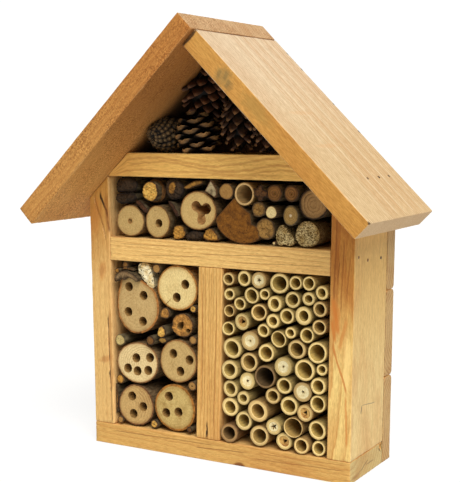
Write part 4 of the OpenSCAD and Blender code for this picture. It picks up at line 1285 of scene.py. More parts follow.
def prism(parts, outline, front, back=None, *, seed, holes=(), pith=None, tilt=(0, 0), dome=0.0,
          dome_width=4.0, rough=0.12, bark=0.35, spacing=1.3, cracks=(), tint=1.0,
          bark_scale=(0.5, 0.12), crumble=0.0):
    """A log, stick or lump with fibres along Y, added to parts.

    front and back are measured behind the front edge of the house; with no back it reaches the
    back boards. dome is how far the rim falls back, rough and crumble are the fine and coarse
    relief of the face, bark that of the side. cracks: (x, z, end x, z, half width, depth)
    """
    front = FRONT_Y + front
    back = FILL_BACK_Y if back is None else FRONT_Y + back
    outline = np.asarray(outline, float)
    x, z = outline.T
    if 0.5 * np.sum(x * np.roll(z, -1) - np.roll(x, -1) * z) < 0:
        outline = outline[::-1]
    centre = outline.mean(0)
    surface = LogSurface(np.array(centre if pith is None else pith, float))
    holes = [hole_outline(hole, seed) for hole in holes]
    grid = lattice(outline, spacing)
    jitter = [value_noise(layer(grid * 3.1, seed), noise_seed) for noise_seed in (5, 9)]
    grid = grid + spacing * 0.28 * np.stack(jitter, -1)
    grid = grid[clear_of(grid, outline, holes, spacing * 0.45, 0.45)]
    crack, crack_depth = crack_points(cracks, seed)
    if len(crack):
        grid = grid[distances(grid, crack).min(1) > 0.45]
        clear = clear_of(crack, outline, holes, 0.3, 0.3)
        crack, crack_depth = crack[clear], crack_depth[clear]
        grid = np.concatenate([grid, crack])
    flat, triangles, loops = triangulate([outline] + [loop for loop, _ in holes], grid)
    edge = rim_distance(flat, outline)
    y = front + (flat[:, 0] - centre[0]) * tilt[0] + (flat[:, 1] - centre[1]) * tilt[1]
    y = y + dome * (1 - np.clip(edge / dome_width, 0, 1)) ** 2
    y = y + rough * fractal_noise(layer(flat * 0.9, seed), seed + 1, 3)
    y = y + rough * 0.5 * np.sin(flat[:, 0] * 1.1 + flat[:, 1] * 2.3)
    y = y + crumble * fractal_noise(layer(flat * 0.33, seed), seed + 7, 3)
    if len(crack):
        away = distances(flat, crack)
        y = y + np.where(away.min(1) < 0.02, crack_depth[away.argmin(1)], 0.0)
    surface.add(flat, y, 0.0, edge)
    surface.faces += [triangle[::-1] for triangle in triangles.tolist()]
    rim = loops[0]
    add_bark(surface, rim, flat[rim], y[rim], centre, front, back, bark, bark_scale, seed)
    for (_, depth), loop in zip(holes, loops[1:]):
        add_hole(surface, loop, flat[loop], y[loop], depth, seed)
    table = np.concatenate(surface.rows)
    parts.add(table[:, :3], surface.faces, gl=table[:, :3] * MM, tint=np.full(len(table), tint),
              zone=table[:, 3], rad=table[:, 4], edge=table[:, 5], ang=table[:, 6])


def piece(name, material, slot, *bodies, node=None, angle=55):
    """One object made of several prisms."""
    parts = MeshParts()
    for body in bodies:
        prism(parts, **body)
    parts.build(name, MATERIALS[material], slot, node, angle)


def lump(points, front, back, seed, passes=1, step=0.8, spacing=0.8, **settings):
    """Settings of a prism whose corner points (x, z) are softened and resampled."""
    return dict(outline=resample(soften(points, passes), step), front=front, back=back,
                seed=seed, spacing=spacing, **settings)


def stick(x, z, width, height, front, seed, count, **settings):
    """Settings of a full-depth round stick."""
    outline = ellipse(x, z, width, height, 0.018, seed * 1.3, count, seed)
    return dict(outline=outline, front=front, seed=seed, **settings)


def log(node, material, outline, holes, pith, tilt, seed, front=3.5, spacing=1.2, **settings):
    """A drilled log in place of a CAD node."""
    body = dict(outline=outline, front=front, holes=holes, pith=pith, tilt=tilt, seed=seed,
                spacing=spacing, **settings)
    piece(node + "_wood", material, "log_wood", body, node=node, angle=50)


def drilled(*centres, radius=4, depth=40):
    """Round nest holes at (x, z)."""
    return [(x, z, radius, depth) for x, z in centres]


# ------------------------------------------------------------------ logs
PEAR_OUTLINE = [
    (-93.6, 144.4), (-90, 149.2), (-83.8, 150.4), (-78.7, 148.7), (-72.7, 144), (-65.7, 140.7),
    (-59.7, 135.9), (-56.9, 129), (-56.0, 121.8), (-57, 114.1), (-61, 106.9), (-67.1, 101.7),
    (-75.2, 98.4), (-83.4, 98.6), (-90.5, 102.8), (-95.6, 109.6), (-97.8, 118), (-97.9, 126.8),
    (-96.4, 133.7), (-94.6, 138.2)]
log("four_hole_log", "log_pear", resample(soften(PEAR_OUTLINE, 1), 1.6),
    drilled((-85.5, 138), (-71, 131.5), (-86.5, 116.5), (-72, 109.5)), (-79.3, 115.2),
    (0.02, -0.01), 101, dome=0.35, dome_width=2.0, rough=0.10, bark=0.45, spacing=1.3,
    cracks=[(-92.5, 101.5, -95.8, 99.2, 0.5, 1.5)])
log("two_hole_log", "log_cream", ellipse(-37.5, 140.3, 39.5, 37.2, 0.01, 2.0, 84, 3),
    drilled((-29.5, 144), (-38, 132.5)), (-38.5, 137.6), (-0.03, 0.0), 103,
    dome=0.25, dome_width=1.5, rough=0.16,
    cracks=[(-44.5, 130, -49.5, 125, 0.4, 2.2), (-38, 137.5, -36.4, 139.4, 0.35, 0.8)])
log("five_hole_log", "log_ringed", ellipse(-77.5, 73.5, 40.6, 34.6, 0.012, 3.5, 84, 5),
    drilled((-79, 77.5), (-65.5, 79)) + drilled((-87, 68), depth=26)
    + drilled((-77.5, 66.5), (-67, 68)), (-73, 73), (0.05, 0.05), 105,
    dome=0.3, dome_width=1.6, rough=0.10, bark=0.3)
log("upper_three_hole_log", "log_plain", ellipse(-37, 79, 37, 35.6, 0.012, 0.4, 84, 7),
    drilled((-42, 85), (-25.5, 81.5), (-34.5, 71)), (-38, 78.5), (-0.06, 0.03), 107,
    dome=0.25, dome_width=1.5, rough=0.10, bark=0.3)
log("left_three_hole_log", "log_tan", ellipse(-79.5, 36.6, 34.6, 35.2, 0.014, 1.6, 84, 9),
    drilled((-83.5, 44), (-72.5, 36), (-82, 29)), (-86, 35), (0.05, 0.02), 109,
    dome=0.3, dome_width=1.6, rough=0.10, bark=0.4,
    cracks=[(-93.5, 44.5, -95.3, 45.6, 0.5, 1.6)])
log("right_three_hole_log", "log_yellow", ellipse(-40.5, 39.3, 39, 40, 0.014, 2.6, 90, 11),
    drilled((-46, 48.5), (-49, 34), (-37, 36)), (-41, 40), (0.02, -0.03), 111,
    dome=0.4, dome_width=1.8, rough=0.20, bark=0.7,
    cracks=[(-52, 56, -56, 51.5, 0.3, 0.8), (-30, 55, -27, 51, 0.3, 0.8)])
log("left_pith_log", "log_pith", ellipse(-83.2, 194, 27.4, 26.2, 0.01, 1.0, 72, 13),
    [(-83.4, 193.8, 1.9, 1.3)], (-83.4, 193.8), (0.02, 0.0), 113, front=3, spacing=1.1,
    dome=0.2, dome_width=1.2, rough=0.14, bark=0.3)
log("right_pith_log", "log_pith", ellipse(-56, 194.3, 24.4, 27, 0.01, 0.2, 72, 15),
    [(-54.7, 193.2, 3.5, 30), (-58.6, 203.4, 0.45, 1.5)], (-54.7, 193.2), (-0.04, 0.0), 115,
    front=3, spacing=1.1, dome=0.2, dome_width=1.2, rough=0.14, bark=0.3)

TREFOIL_CENTRE = np.array([-13.8, 204.6])
# centre and radius of the holes that run into each other
TREFOIL_LOBES = [((-18.7, 208.6), 4.5), ((-9.4, 206.9), 4.6), ((-13.7, 197.9), 4.3),
                 ((-13.8, 204.8), 4.0)]


def trefoil_outline():
    """The far side of the lobes as seen from the centre, slightly smoothed."""
    points = []
    for angle in turn(64):
        direction = np.array([math.cos(angle), math.sin(angle)])
        reach = 0.5
        for lobe, radius in TREFOIL_LOBES:
            offset = np.array(lobe) - TREFOIL_CENTRE
            ahead = offset @ direction
            square = radius * radius - (offset @ offset - ahead * ahead)
            if square > 0:
                reach = max(reach, ahead + math.sqrt(square))
        points.append(TREFOIL_CENTRE + direction * reach)
    points = np.array(points)
    for _ in range(2):
        points = points * 0.5 + 0.25 * (np.roll(points, 1, 0) + np.roll(points, -1, 0))
    return points


def trefoil_depth(points):
    """Deep on the upper right, shallow in the lowest lobe."""
    x, z = points.T
    return 34 - 27 * smoothstep((203.5 - z) / 3.5) - 12 * smoothstep((-15.5 - x) / 3) * (z > 203)


log("trefoil_log", "log_trefoil", ellipse(-17, 205, 33.4, 31.4, 0.01, 1.2, 80, 17),
    [(trefoil_outline(), trefoil_depth)], (-14, 204), (0.03, 0.01), 117, front=3, spacing=1.15,
    dome=0.25, dome_width=1.4, rough=0.14, cracks=[(-26, 193.5, -28.5, 191.5, 0.3, 0.8)])

# ------------------------------------------------------------------ lower bay
LOWER_TWIGS = [  # x, z, diameter, material
    (-96.8, 151, 4.6, "wood_gold"), (-89, 156.4, 6, "wood_brown"),
    (-97.4, 143.6, 3.8, "stick_dark"), (-57, 155.3, 7.6, "stick_tan"),
    (-22, 124.2, 6.4, "stick_yellow"), (-21, 98.8, 7, "stick_tan"),
    (-94.6, 91.6, 9.6, "stick_lichen"), (-95.5, 57.4, 8, "wood_gold"),
    (-22, 60.4, 7.6, "stick_tan"), (-95, 22.2, 6, "stick_tan"),
    (-60.8, 22.6, 7.4, "stick_yellow"), (-63, 94.2, 8, "stick_dark"),
    (-25.6, 22.8, 5, "stick_dark")]
for i, (x, z, size, material) in enumerate(LOWER_TWIGS):
    bored = size > 6 and material in ("stick_tan", "stick_yellow") and i % 2 == 0
    crumbly = material in ("wood_gold", "stick_lichen")
    body = stick(x, z, size, size, 2.0 + 1.2 * math.sin(i * 2.1), 130 + i, 34, rough=0.28,
                 bark=0.22, spacing=0.9, dome=0.4, dome_width=1.2,
                 holes=[(x, z, 0.7, 2.0)] if bored else [], crumble=0.7 if crumbly else 0.15)
    piece("lower_twig_%02d" % (i + 1), material, "twig_bark", body,
          node=None if i else "lower_bay_twigs")

piece("lichen_lump_crust", "lichen_pale_crust", "lichen_wood", lump(
    [(-76, 159), (-66, 159.4), (-62.6, 151), (-61, 140.5), (-62.6, 137.4), (-67, 138.4),
     (-71.5, 143.5), (-78, 151.6)], 2.6, 44, 151, passes=2, step=0.9, rough=0.55,
    crumble=1.3, dome=2.4, dome_width=3.5, bark=0.9, bark_scale=(0.6, 0.4)),
    node="lichen_lump", angle=50)
piece("bark_chunk_lower", "wood_brown", "bark", lump(
    [(-56, 115), (-53, 122.6), (-46.6, 123.4), (-44.4, 117), (-48.4, 113)], 3.4, 48, 153,
    step=0.9, rough=0.4, crumble=0.8, dome=1.0, dome_width=2, bark=0.5, spacing=0.9),
    node="bark_chunks")
piece("bark_strip_wall", "wood_brown", "bark", lump(
    [(-99.8, 27), (-99.8, 53), (-98.3, 51), (-97.4, 43), (-97.2, 37), (-98.2, 28)], 3, 56, 154,
    passes=0, step=1.0, rough=0.2, bark=0.2, spacing=0.9))
piece("bark_twist", "wood_brown", "bark", lump(
    [(-93.6, 152), (-90, 155.4), (-84, 154.4), (-79.6, 152.6), (-80.6, 151.2), (-86, 152.6)],
    1.8, 40, 155, step=0.7, rough=0.3, crumble=0.9, bark=0.4, dome=0.8, dome_width=1.5))
piece("bark_lump_top", "bark_lump", "bark", lump(
    [(-97.0, 143.6), (-96.8, 147.6), (-93.4, 150.6), (-88.2, 151.9), (-82.6, 151.2),
     (-77.2, 149.0), (-71.8, 145.2), (-75.4, 142.6), (-80.4, 145.6), (-85.0, 146.6),
     (-88.2, 143.0), (-91.2, 145.4), (-94.2, 142.4)], -1.6, 36, 152, rough=0.5, crumble=1.6,
    bark=0.7, dome=1.6, dome_width=2.2))

# decayed branch, split open with two hollows
LEFT_HOLLOW = soften([(-39, 107), (-36.4, 112), (-32.4, 112.8), (-31.6, 108.6), (-35, 104.6)], 1)
RIGHT_HOLLOW = soften([(-30, 105.6), (-27.4, 108), (-24.8, 105.4), (-28, 102.2)], 1)
piece("split_branch_wood", "wood_brown", "twig_bark", lump(
    [(-44.4, 108), (-41.6, 116.6), (-33, 120.2), (-25.4, 118), (-21.9, 109.5), (-25.6, 101.8),
     (-32, 99), (-40.8, 101.2)], 4, None, 157, step=1.1, rough=0.6, crumble=1.4, bark=0.7,
    spacing=1.0, dome=0.6, dome_width=2.0,
    holes=[(LEFT_HOLLOW, lambda points: 9 + 3 * np.sin(points[:, 0])),
           (RIGHT_HOLLOW, lambda points: 8 + 2 * np.sin(points[:, 1]))]),
    node="split_branch", angle=50)
piece("yellow_stick_wood", "stick_yellow", "split_wood", lump(
    [(-57.4, 101), (-56, 106), (-52, 108.2), (-49.8, 105), (-48.8, 100.2), (-51, 97.6),
     (-55, 97.4)], 2.2, None, 159, rough=0.5, crumble=1.6, bark=0.5, dome=1.2, dome_width=2),
    dict(outline=ellipse(-52.4, 95.2, 8.6, 5.4, 0.02, 1, 34, 161), front=3.4, seed=161,
         rough=0.4, crumble=0.6, bark=0.4, spacing=0.9, tint=0.55, dome=0.8, dome_width=1.5),
    node="yellow_stick_stub")

# ------------------------------------------------------------------ middle bay
piece("rotten_lumps_wood", "wood_rotten", "rotten_wood", lump(
    [(-99.6, 218), (-99.2, 228), (-93, 230.8), (-82, 230.2), (-77.4, 224.6), (-79.5, 218),
     (-90, 216.8)], 4, 55, 171, passes=2, step=1.2, rough=0.8, crumble=2.4, dome=3.0,
    dome_width=5, bark=1.4, spacing=1.1, bark_scale=(0.35, 0.3)), lump(
    [(-99.6, 208.4), (-99.4, 216), (-90, 217.2), (-80, 217), (-77.6, 212.4), (-83, 208.6),
     (-92, 207.6)], 3, 54, 173, passes=2, step=1.2, rough=0.8, crumble=2.2, dome=2.6,
    dome_width=4, bark=1.2, spacing=1.1, bark_scale=(0.35, 0.3)), node="rotten_lumps")
piece("yellow_end_branch_bark", "stick_dark", "twig_bark", stick(
    -62.6, 219, 21, 20.8, 8, 175, 56, rough=0.8, crumble=1.2, bark=0.9, spacing=1.1, dome=3.5,
    dome_width=4), node="yellow_end_branch")
piece("yellow_end_break", "stick_yellow", "split_wood", lump(
    [(-70, 214), (-70.6, 221), (-67.6, 226.8), (-61, 228), (-55.4, 225), (-54.6, 218),
     (-57, 211.6), (-63.4, 210.4)], 1.2, 30, 177, step=0.9, rough=0.75, crumble=1.5, bark=0.5,
    dome=1.6, dome_width=2.2,
    cracks=[(-67, 220, -61, 223, 0.5, 1.6), (-62, 216, -57, 217.6, 0.5, 1.4),
            (-64.5, 213, -61, 218.5, 0.4, 1.3), (-60.5, 221, -57.5, 225, 0.45, 1.4)]), angle=60)
piece("dark_branch_bark", "wood_rotten", "twig_bark", stick(
    -41, 221.6, 18, 17.8, 3.5, 179, 56, rough=0.9, crumble=1.6, bark=0.9, spacing=1.0,
    dome=2.4, dome_width=4), node="dark_branch")
piece("dark_branch_heart", "wood_gold", "split_wood", lump(
    [(-45.6, 219), (-45, 226), (-41, 228.6), (-37.6, 225.6), (-38.6, 220.2), (-41.6, 216.6)],
    2.4, 12, 181, rough=0.5, crumble=1.2, bark=0.4, spacing=0.7, dome=1.4, dome_width=2.2,
    tint=0.8), angle=60)
STRIP = dict(rough=0.35, crumble=0.9, bark=0.4, spacing=0.7, dome=0.8, dome_width=1.5)
piece("bark_strips_red", "bark_red", "bark", lump(
    [(-78.4, 210.6), (-74, 212), (-69.6, 208.6), (-65.2, 203.4), (-67.2, 200.6),
     (-72.6, 205.4)], 1.6, 52, 183, **STRIP), lump(
    [(-45.6, 211.4), (-42.8, 212), (-37.4, 206), (-34.6, 200.4), (-36.8, 199.2), (-41, 205)],
    1.6, 52, 185, **STRIP), node="bark_strips")
piece("gold_splinters", "wood_gold", "split_wood", lump(
    [(-32, 223), (-26, 226.8), (-19, 229.4), (-12.6, 229.6), (-13, 226.4), (-20, 224.6),
     (-28, 221.4)], 3, 52, 187, rough=0.4, crumble=0.8, bark=0.4, tint=0.72, dome=0.8,
    dome_width=1.5), lump(
    [(-42, 183.4), (-41.4, 190.4), (-36.4, 193), (-30.6, 191), (-28.8, 184.8), (-33.6, 180.6),
     (-40, 180.4)], 2.4, 48, 189, step=0.9, rough=0.8, crumble=1.6, bark=0.6, dome=2.0,
    dome_width=3.0), lump(
    [(-12.4, 181.2), (-11.6, 188.4), (-5.4, 192.2), (-0.8, 188.6), (2.0, 185.4), (2.4, 181)],
    2.0, 50, 191, step=0.9, rough=0.7, crumble=1.4, bark=0.6, dome=1.6, dome_width=2.5),
    node="wood_splinters")
piece("dark_bark_piece", "wood_rotten", "rotten_wood", lump(
    [(-28.6, 180.6), (-29, 185.6), (-22.4, 189), (-15, 188.2), (-12.6, 183.6), (-16, 180.4)],
    2.4, 48, 193, step=0.9, rough=0.8, crumble=1.8, bark=0.8, dome=2.2, dome_width=3.0))
piece("pale_splinter", "splinter_pale", "split_wood", lump(
    [(-8.8, 221.2), (-0.2, 216), (1.4, 218.6), (1.0, 222.4), (-4.4, 230.6)], 1.4, 52, 195,
    passes=0, rough=0.3, crumble=0.5, bark=0.3, tilt=(0.25, 0.1)), angle=40)
piece("split_wedge_wood", "wood_wedge", "split_wood", lump(
    [(17.8, 217.2), (22.0, 212.7), (24.6, 209.0), (28.4, 206.6), (31.4, 204.4), (32.0, 200.5),
     (32.3, 196.2), (35.0, 195.4), (37.4, 194.2), (39.1, 190.6), (39.4, 185.4), (36.2, 183.0),
     (31.4, 181.2), (26.9, 180.6), (22.4, 180.5), (17.9, 181.4), (13.3, 183.1), (8.7, 185.7),
     (4.1, 189.4), (1.3, 193.3), (0.0, 197.5), (0.6, 200.3), (4.1, 203.8), (7.8, 207.4),
     (12.4, 211.9)], 2.2, None, 197, passes=0, step=1.0, rough=0.28, crumble=0.5, bark=0.3,
    spacing=1.0, pith=(24, 214), dome=0.3, dome_width=1.0,
    cracks=[(8, 195, 16, 188, 0.3, 0.5), (20, 200, 25, 190, 0.3, 0.5)]),
    node="split_wedge", angle=50)
piece("cross_piece_bark", "bark_knob", "bark", lump(
    [(38.8, 214.8), (42.8, 214.8), (43.6, 218.4), (46.9, 217.4), (47.3, 223.8), (43.8, 223.6),
     (43.0, 227.6), (38.8, 227.6), (38.0, 224.0), (34.4, 225), (34.2, 217.8), (38.0, 218.6)],
    0.9, 54, 199, step=0.7, rough=0.5, crumble=1.2, bark=0.5, spacing=0.7, dome=0.8,
    dome_width=1.5), node="cross_piece")

ROUND_STICKS = [  # x, z, width, height, front, material, radius of the hole in its end
    (9.8, 221.4, 13, 13, 2, "stick_tan", 0), (52.5, 221.4, 13.8, 13.4, 2.5, "stick_dark", 0.9),
    (67, 221.4, 12.8, 12.8, 3, "stick_dark", 0.9),
    (39.3, 208.2, 11.8, 11.6, 1.5, "stick_fibrous", 0),
    (51.4, 206.6, 10, 10, -0.5, "stick_cream", 0),
    (44.8, 193.2, 16.8, 16.8, 2.5, "stick_fibrous", 0),
    (53.4, 182.6, 3, 3, 0.5, "stick_cream", 0)]
for i, (x, z, width, height, front, material, bore) in enumerate(ROUND_STICKS):
    fibrous = material == "stick_fibrous"
    cracks = [(x - width * 0.3, z + 1, x + width * 0.25, z - 1.5, 0.3, 1.0),
              (x - 1, z + width * 0.3, x + 1.5, z - width * 0.25, 0.3, 0.9)]
    body = stick(x, z, width, height, front, 200 + i, 48 if width > 5 else 20, spacing=0.9,
                 tint=1.25 if material == "stick_dark" else 1.0, dome=0.4, dome_width=1.2,
                 rough=0.45 if fibrous else 0.2, crumble=0.7 if fibrous else 0.1,
                 cracks=cracks if fibrous else (),
                 holes=[(x + 0.4, z - 0.3, bore, 1.2)] if bore else [])
    piece("round_stick_%d" % (i + 1), material, "twig_bark", body,
          node=None if i else "round_sticks")
piece("oval_stick_wood", "stick_grey", "twig_bark", dict(
    outline=ellipse(67, 204.5, 13.2, 15.8, 0.01, 0.3, 52, 211), front=2, rough=0.2, bark=0.3,
    spacing=0.9, seed=211, dome=0.4, dome_width=1.4, tint=1.05), node="oval_stick", angle=50)
piece("corner_log_wood", "stick_corner", "twig_bark", dict(
    outline=ellipse(85.6, 214, 24.4, 23.8, 0.012, 0.9, 72, 213), front=3.5, rough=0.2,
    bark=0.5, spacing=1.1, seed=213, dome=0.4, dome_width=1.6, tint=0.95),
    node="corner_log", angle=50)
CRUST = dict(rough=0.6, dome=1.0, dome_width=2.0, bark=0.7, bark_scale=(0.8, 0.3))
piece("lichen_blocks_crust", "lichen_crust", "lichen_wood", lump(
    [(54, 183.6), (54.2, 192), (57.6, 197), (61.4, 196.4), (65, 191.6), (69.8, 187.6),
     (70.4, 182.8), (66, 180.4), (61.6, 182), (57, 180.2)], 2, None, 215, step=0.9,
    crumble=0.9, **CRUST),
    dict(outline=ellipse(81, 190.6, 20.2, 19.8, 0.03, 1.2, 60, 217), front=2, crumble=0.7,
         spacing=0.85, seed=217, **CRUST), node="lichen_blocks", angle=60)


# ------------------------------------------------------------------ canes
def islands(item):
    """Welded, connected parts of a CAD node: a list of vertex arrays in millimetres."""
    mesh = item.data
    points = np.array([vertex.co for vertex in mesh.vertices]) / MM
    welded, index = np.unique(np.round(points, 3), axis=0, return_inverse=True)
    edges = index.reshape(-1)[np.array([tuple(edge.vertices) for edge in mesh.edges])]
    label = np.arange(len(welded))
    while True:
        lowest = np.minimum(label[edges[:, 0]], label[edges[:, 1]])
        update = label.copy()
        np.minimum.at(update, edges[:, 0], lowest)
        np.minimum.at(update, edges[:, 1], lowest)
        update = update[update]
        if (update == label).all():
            return [welded[label == value] for value in np.unique(label)]
        label = update


def cane_shader(name, *colours, gain=(1.14, 1.08, 0.92)):
    """colours: rind, cut face, its inner ring, bore, and painted shade deep in the bore.

    zone: 0 rind, 1 cut face, 2 bore, 3 pith, 4 membrane, 5 opening painted dark as its shade. rad:
    place between bore (0) and rind (1) on the cut face. deep: metres into the bore.
    """
    skin, face, pale, bore, painted_bore_shade = [scale(srgb(*colour), gain) for colour in colours]
    shader = Shader(name)
    position = shader.position()
    zone, across, tint, deep = [shader.attribute(key) for key in ("zone", "rad", "tint", "deep")]
    fibres = (position * (1300.0, 60.0, 1300.0)).noise(rough=0.6)
    patches = position.noise(260, rough=0.6)
    dots = position.noise(1700, detail=2, rough=0.6)
    rind = fibres.remap(0.3, 0.7).mix(scale(skin, 0.45), scale(skin, 0.80))
    rind = rind.cover(patches.remap(0.5, 0.75) * 0.45, scale(skin, 0.5))
    # cut face: pale inner wall, fibre dots, thin dark line under the rind
    cut = across.remap(0.0, 0.42).mix(pale, face)
    cut = cut.cover(dots.remap(0.52, 0.68) * 0.42, scale(face, 0.45))
    cut = cut.cover(patches.remap(0.5, 0.8) * 0.4, scale(face, 0.62))
    line = across.remap(0.62, 0.72) * across.remap(0.78, 0.88, 1.0, 0.0)
    cut = cut.cover(line * 0.55, scale(face, 0.42))
    cut = cut.cover(across.remap(0.72, 1.0, 0.0, 0.75), scale(skin, 0.62))
    colour = zone.remap(0.4, 0.6).mix(rind, cut)
    streaks = (position * (900.0, 90.0, 900.0)).noise(rough=0.6)
    wall = streaks.remap(0.3, 0.7).mix(scale(bore, 1.05), scale(bore, 1.5))
    # the bore wall darkens with depth to this colour: painted shade deep in the hole
    wall = wall.cover(deep.remap(0.012, 0.040), painted_bore_shade)
    colour = colour.cover(zone.remap(1.4, 1.6), wall)
    pith = (patches.remap(0.35, 0.7) * 0.6).mix(srgb(244, 232, 186), srgb(202, 176, 112))
    pith = pith.cover(dots.remap(0.5, 0.7) * 0.35, srgb(160, 130, 76))
    colour = colour.cover(zone.remap(2.4, 2.6), pith)
    membrane = patches.remap(0.35, 0.6).mix(srgb(150, 98, 44), srgb(206, 168, 96))
    colour = colour.cover(zone.remap(3.4, 3.6), membrane)
    # zone 5, the openings in pith and plugged canes, is painted dark as their shade
    colour = colour.cover(zone.remap(4.4, 4.6), srgb(78, 56, 30))
    colour = colour.multiply(1.0, tint.grey())
    return shader.surface(colour, 0.5, fibres * 0.6 + dots * 0.6, strength=0.5,
                          distance=0.0003, specular=0.35)


STRAW, TAN, BROWN, DARK = range(4)
CANE_NAMES = ("straw", "tan", "brown", "dark")
# the last colour of each shader is the painted shade deep in the bore
CANE_SHADERS = [
    cane_shader("cane_straw", (186, 164, 108), (216, 194, 138), (240, 222, 168),
                (168, 148, 92), (70, 58, 34)),
    cane_shader("cane_tan", (170, 138, 90), (204, 178, 124), (236, 212, 158),
                (158, 134, 84), (66, 52, 32)),
    cane_shader("cane_brown", (122, 92, 60), (150, 118, 78), (168, 138, 92),
                (104, 82, 54), (40, 32, 24)),
    cane_shader("cane_dark_wall", (146, 122, 82), (130, 104, 70), (120, 96, 66),
                (84, 68, 48), (34, 28, 22))]


def cane_mesh(x, z, radius, bore, front, back, kind, seed, count=52):
    """Rind, cut end, bore and closed back of one cane.

    kind is "open", "pith" or "plugged". Returns the faces and a table of x, y, z, zone, rad
    and deep.
    """
    angle = turn(count)
    rng = np.random.default_rng(seed)
    oval, oval_phase = rng.uniform(0.0, 0.022), rng.uniform(0, 6.28)
    bore_oval = rng.uniform(0.0, 0.05)
    body = 1 - oval + oval * np.cos(2 * angle + oval_phase)
    inner = bore * (1 - bore_oval + bore_oval * np.cos(2 * angle + oval_phase + 0.6)
                    + 0.02 * round_noise(angle, 1.4, seed, seed, 2))
    offset = rng.uniform(0, 0.35) * min(1.0, (radius - bore) / 3)  # of the bore's centre
    offset_angle = rng.uniform(0, 6.28)
    tilt_x, tilt_z = rng.normal(0, 0.03, 2)
    ragged = round_noise(angle, radius * 0.9, seed, seed + 1, 3)
    fine = round_noise(angle, radius * 2.2, seed, seed + 2, 2)
    rows, faces = [], []

    def ring(size, y, zone, across, deep=0.0, shift=0.0):
        """One more loop, joined to the last; returns its indices."""
        ring_x = x + size * np.cos(angle) + shift * math.cos(offset_angle)
        ring_z = z + size * np.sin(angle) + shift * math.sin(offset_angle)
        ring_y = y + tilt_x * (ring_x - x) + tilt_z * (ring_z - z)
        start = len(rows) * count
        rows.append(columns(ring_x, ring_y, ring_z, zone, across, deep * MM))
        if start:
            for i in range(count):
                j = (i + 1) % count
                faces.append([start - count + i, start - count + j, start + j, start + i])
        return np.arange(start, start + count)

    outer = radius * body
    wall = max(radius - bore, 0.8)
    rear = ring(outer * 0.985, back, 0, 1)
    for y in (back - 0.4, back - 12, back - 26, front + 18, front + 8, front + 3):
        ring(outer * (0.985 + 0.012 * math.sin(y * 0.7 + seed)), y, 0, 1)
    ring(outer * 0.996, front + 1.2 + 0.15 * ragged, 0, 1)
    ring(outer * 0.992 + 0.05 * fine, front + 0.45 + 0.35 * ragged + 0.2 * fine, 0, 1)
    ring(outer - 0.22 + 0.10 * fine, front + 0.10 + 0.40 * ragged + 0.25 * fine, 0.8, 1.0)
    ring(outer - wall * 0.16, front + 0.02 + 0.25 * ragged, 1, 0.86)
    ring(outer - wall * 0.24, front + 0.16 + 0.2 * ragged, 1, 0.75)
    ring(outer - wall * 0.34, front + 0.0 + 0.15 * ragged, 1, 0.6)
    if kind == "open":
        ring(outer * 0.35 + inner * 0.65, front - 0.02 + 0.1 * fine, 1, 0.3, 0, offset * 0.6)
        ring(inner + 0.22, front + 0.02 + 0.08 * fine, 1, 0.08, 0, offset)
        ring(inner + 0.03, front + 0.30 + 0.12 * fine, 1.6, 0, 0.3, offset)
        for deep in (1.0, 2.5, 5, 9, 15, 24, 36):
            ring(inner * (1 + 0.01 * math.sin(deep)), front + deep, 2, 0, deep,
                 offset * max(0, 1 - deep / 20))
        last = ring(inner * 0.98, front + 47, 2, 0, 47)
        end_y, end_zone = front + 48.5, 2
    elif kind == "pith":
        # the middle is pale and a little sunk, with a small star-shaped opening
        pith = radius * rng.uniform(0.60, 0.70)
        ring(pith * body + 0.3, front + 0.05 + 0.15 * ragged, 1, 0.35)
        sink = rng.uniform(0.2, 0.7)
        ring(pith * body - 0.2, front + 0.15 + sink * 0.6 + 0.1 * fine, 2.6, 0)
        star = 0.42 + 0.58 * np.abs(np.cos(2.5 * angle + seed)) ** 2.2 + 0.25 * fine
        gap = max(bore, 0.8) * rng.uniform(0.75, 1.15)
        floor = front + sink
        ring(np.maximum(pith * 0.72, gap * 1.2) * body, floor + 0.15 + 0.22 * fine, 3, 0)
        ring(np.maximum(pith * 0.5 * body, gap * star + 0.5), floor + 0.25 + 0.28 * ragged, 3, 0)
        ring(gap * star + 0.12, floor + 0.3 + 0.2 * fine, 3, 0)
        ring(gap * star, floor + 0.8, 3.2, 0, 2)
        ring(gap * star * 0.85, floor + 2.5, 5, 0, 8)
        last = ring(gap * star * 0.7, floor + 7, 5, 0, 20)
        end_y, end_zone = floor + 8, 5
    else:
        # closed by a node: a sunk brown membrane with a torn hole
        node = radius * 0.66
        ring(node * body + 0.25, front + 0.05 + 0.12 * ragged, 1, 0.2)
        ring(node * body - 0.05, front + 0.5, 2, 0, 4)
        ring(node * body * 0.97, front + 1.5, 3.6, 0, 2)
        star = 0.5 + 0.5 * np.abs(np.cos(1.5 * angle + seed)) ** 1.5 + 0.3 * fine
        gap = max(bore * 0.8, 1.2)
        ring(np.maximum(node * 0.75, gap * 1.15) * body, front + 1.7 + 0.25 * fine, 4, 0)
        ring(gap * star + 0.4, front + 1.5 + 0.4 * ragged, 4, 0)
        ring(gap * star, front + 1.9 + 0.2 * fine, 4, 0, 2)
        ring(gap * star * 0.9, front + 4, 5, 0, 12)
        last = ring(gap * star * 0.8, front + 14, 5, 0, 30)
        end_y, end_zone = front + 16, 5
    end = len(rows) * count
    rows.append(np.array([[x, end_y, z, end_zone, 0, 0.04], [x, back, z, 0, 1, 0]], float))
    for i in range(count):
        j = (i + 1) % count
        faces.append([last[i], last[j], end])
        faces.append([rear[j], rear[i], end + 1])
    return faces, np.concatenate(rows)


def add_cane(parts, island, least_bore, reach, kind, tint=None, seed=None, deep_scale=1, **sizes):
    """Meant to add the cane that stands for one CAD island, reach mm further forward; it only raises
    NotImplementedError and is deleted below.
    """
    raise NotImplementedError


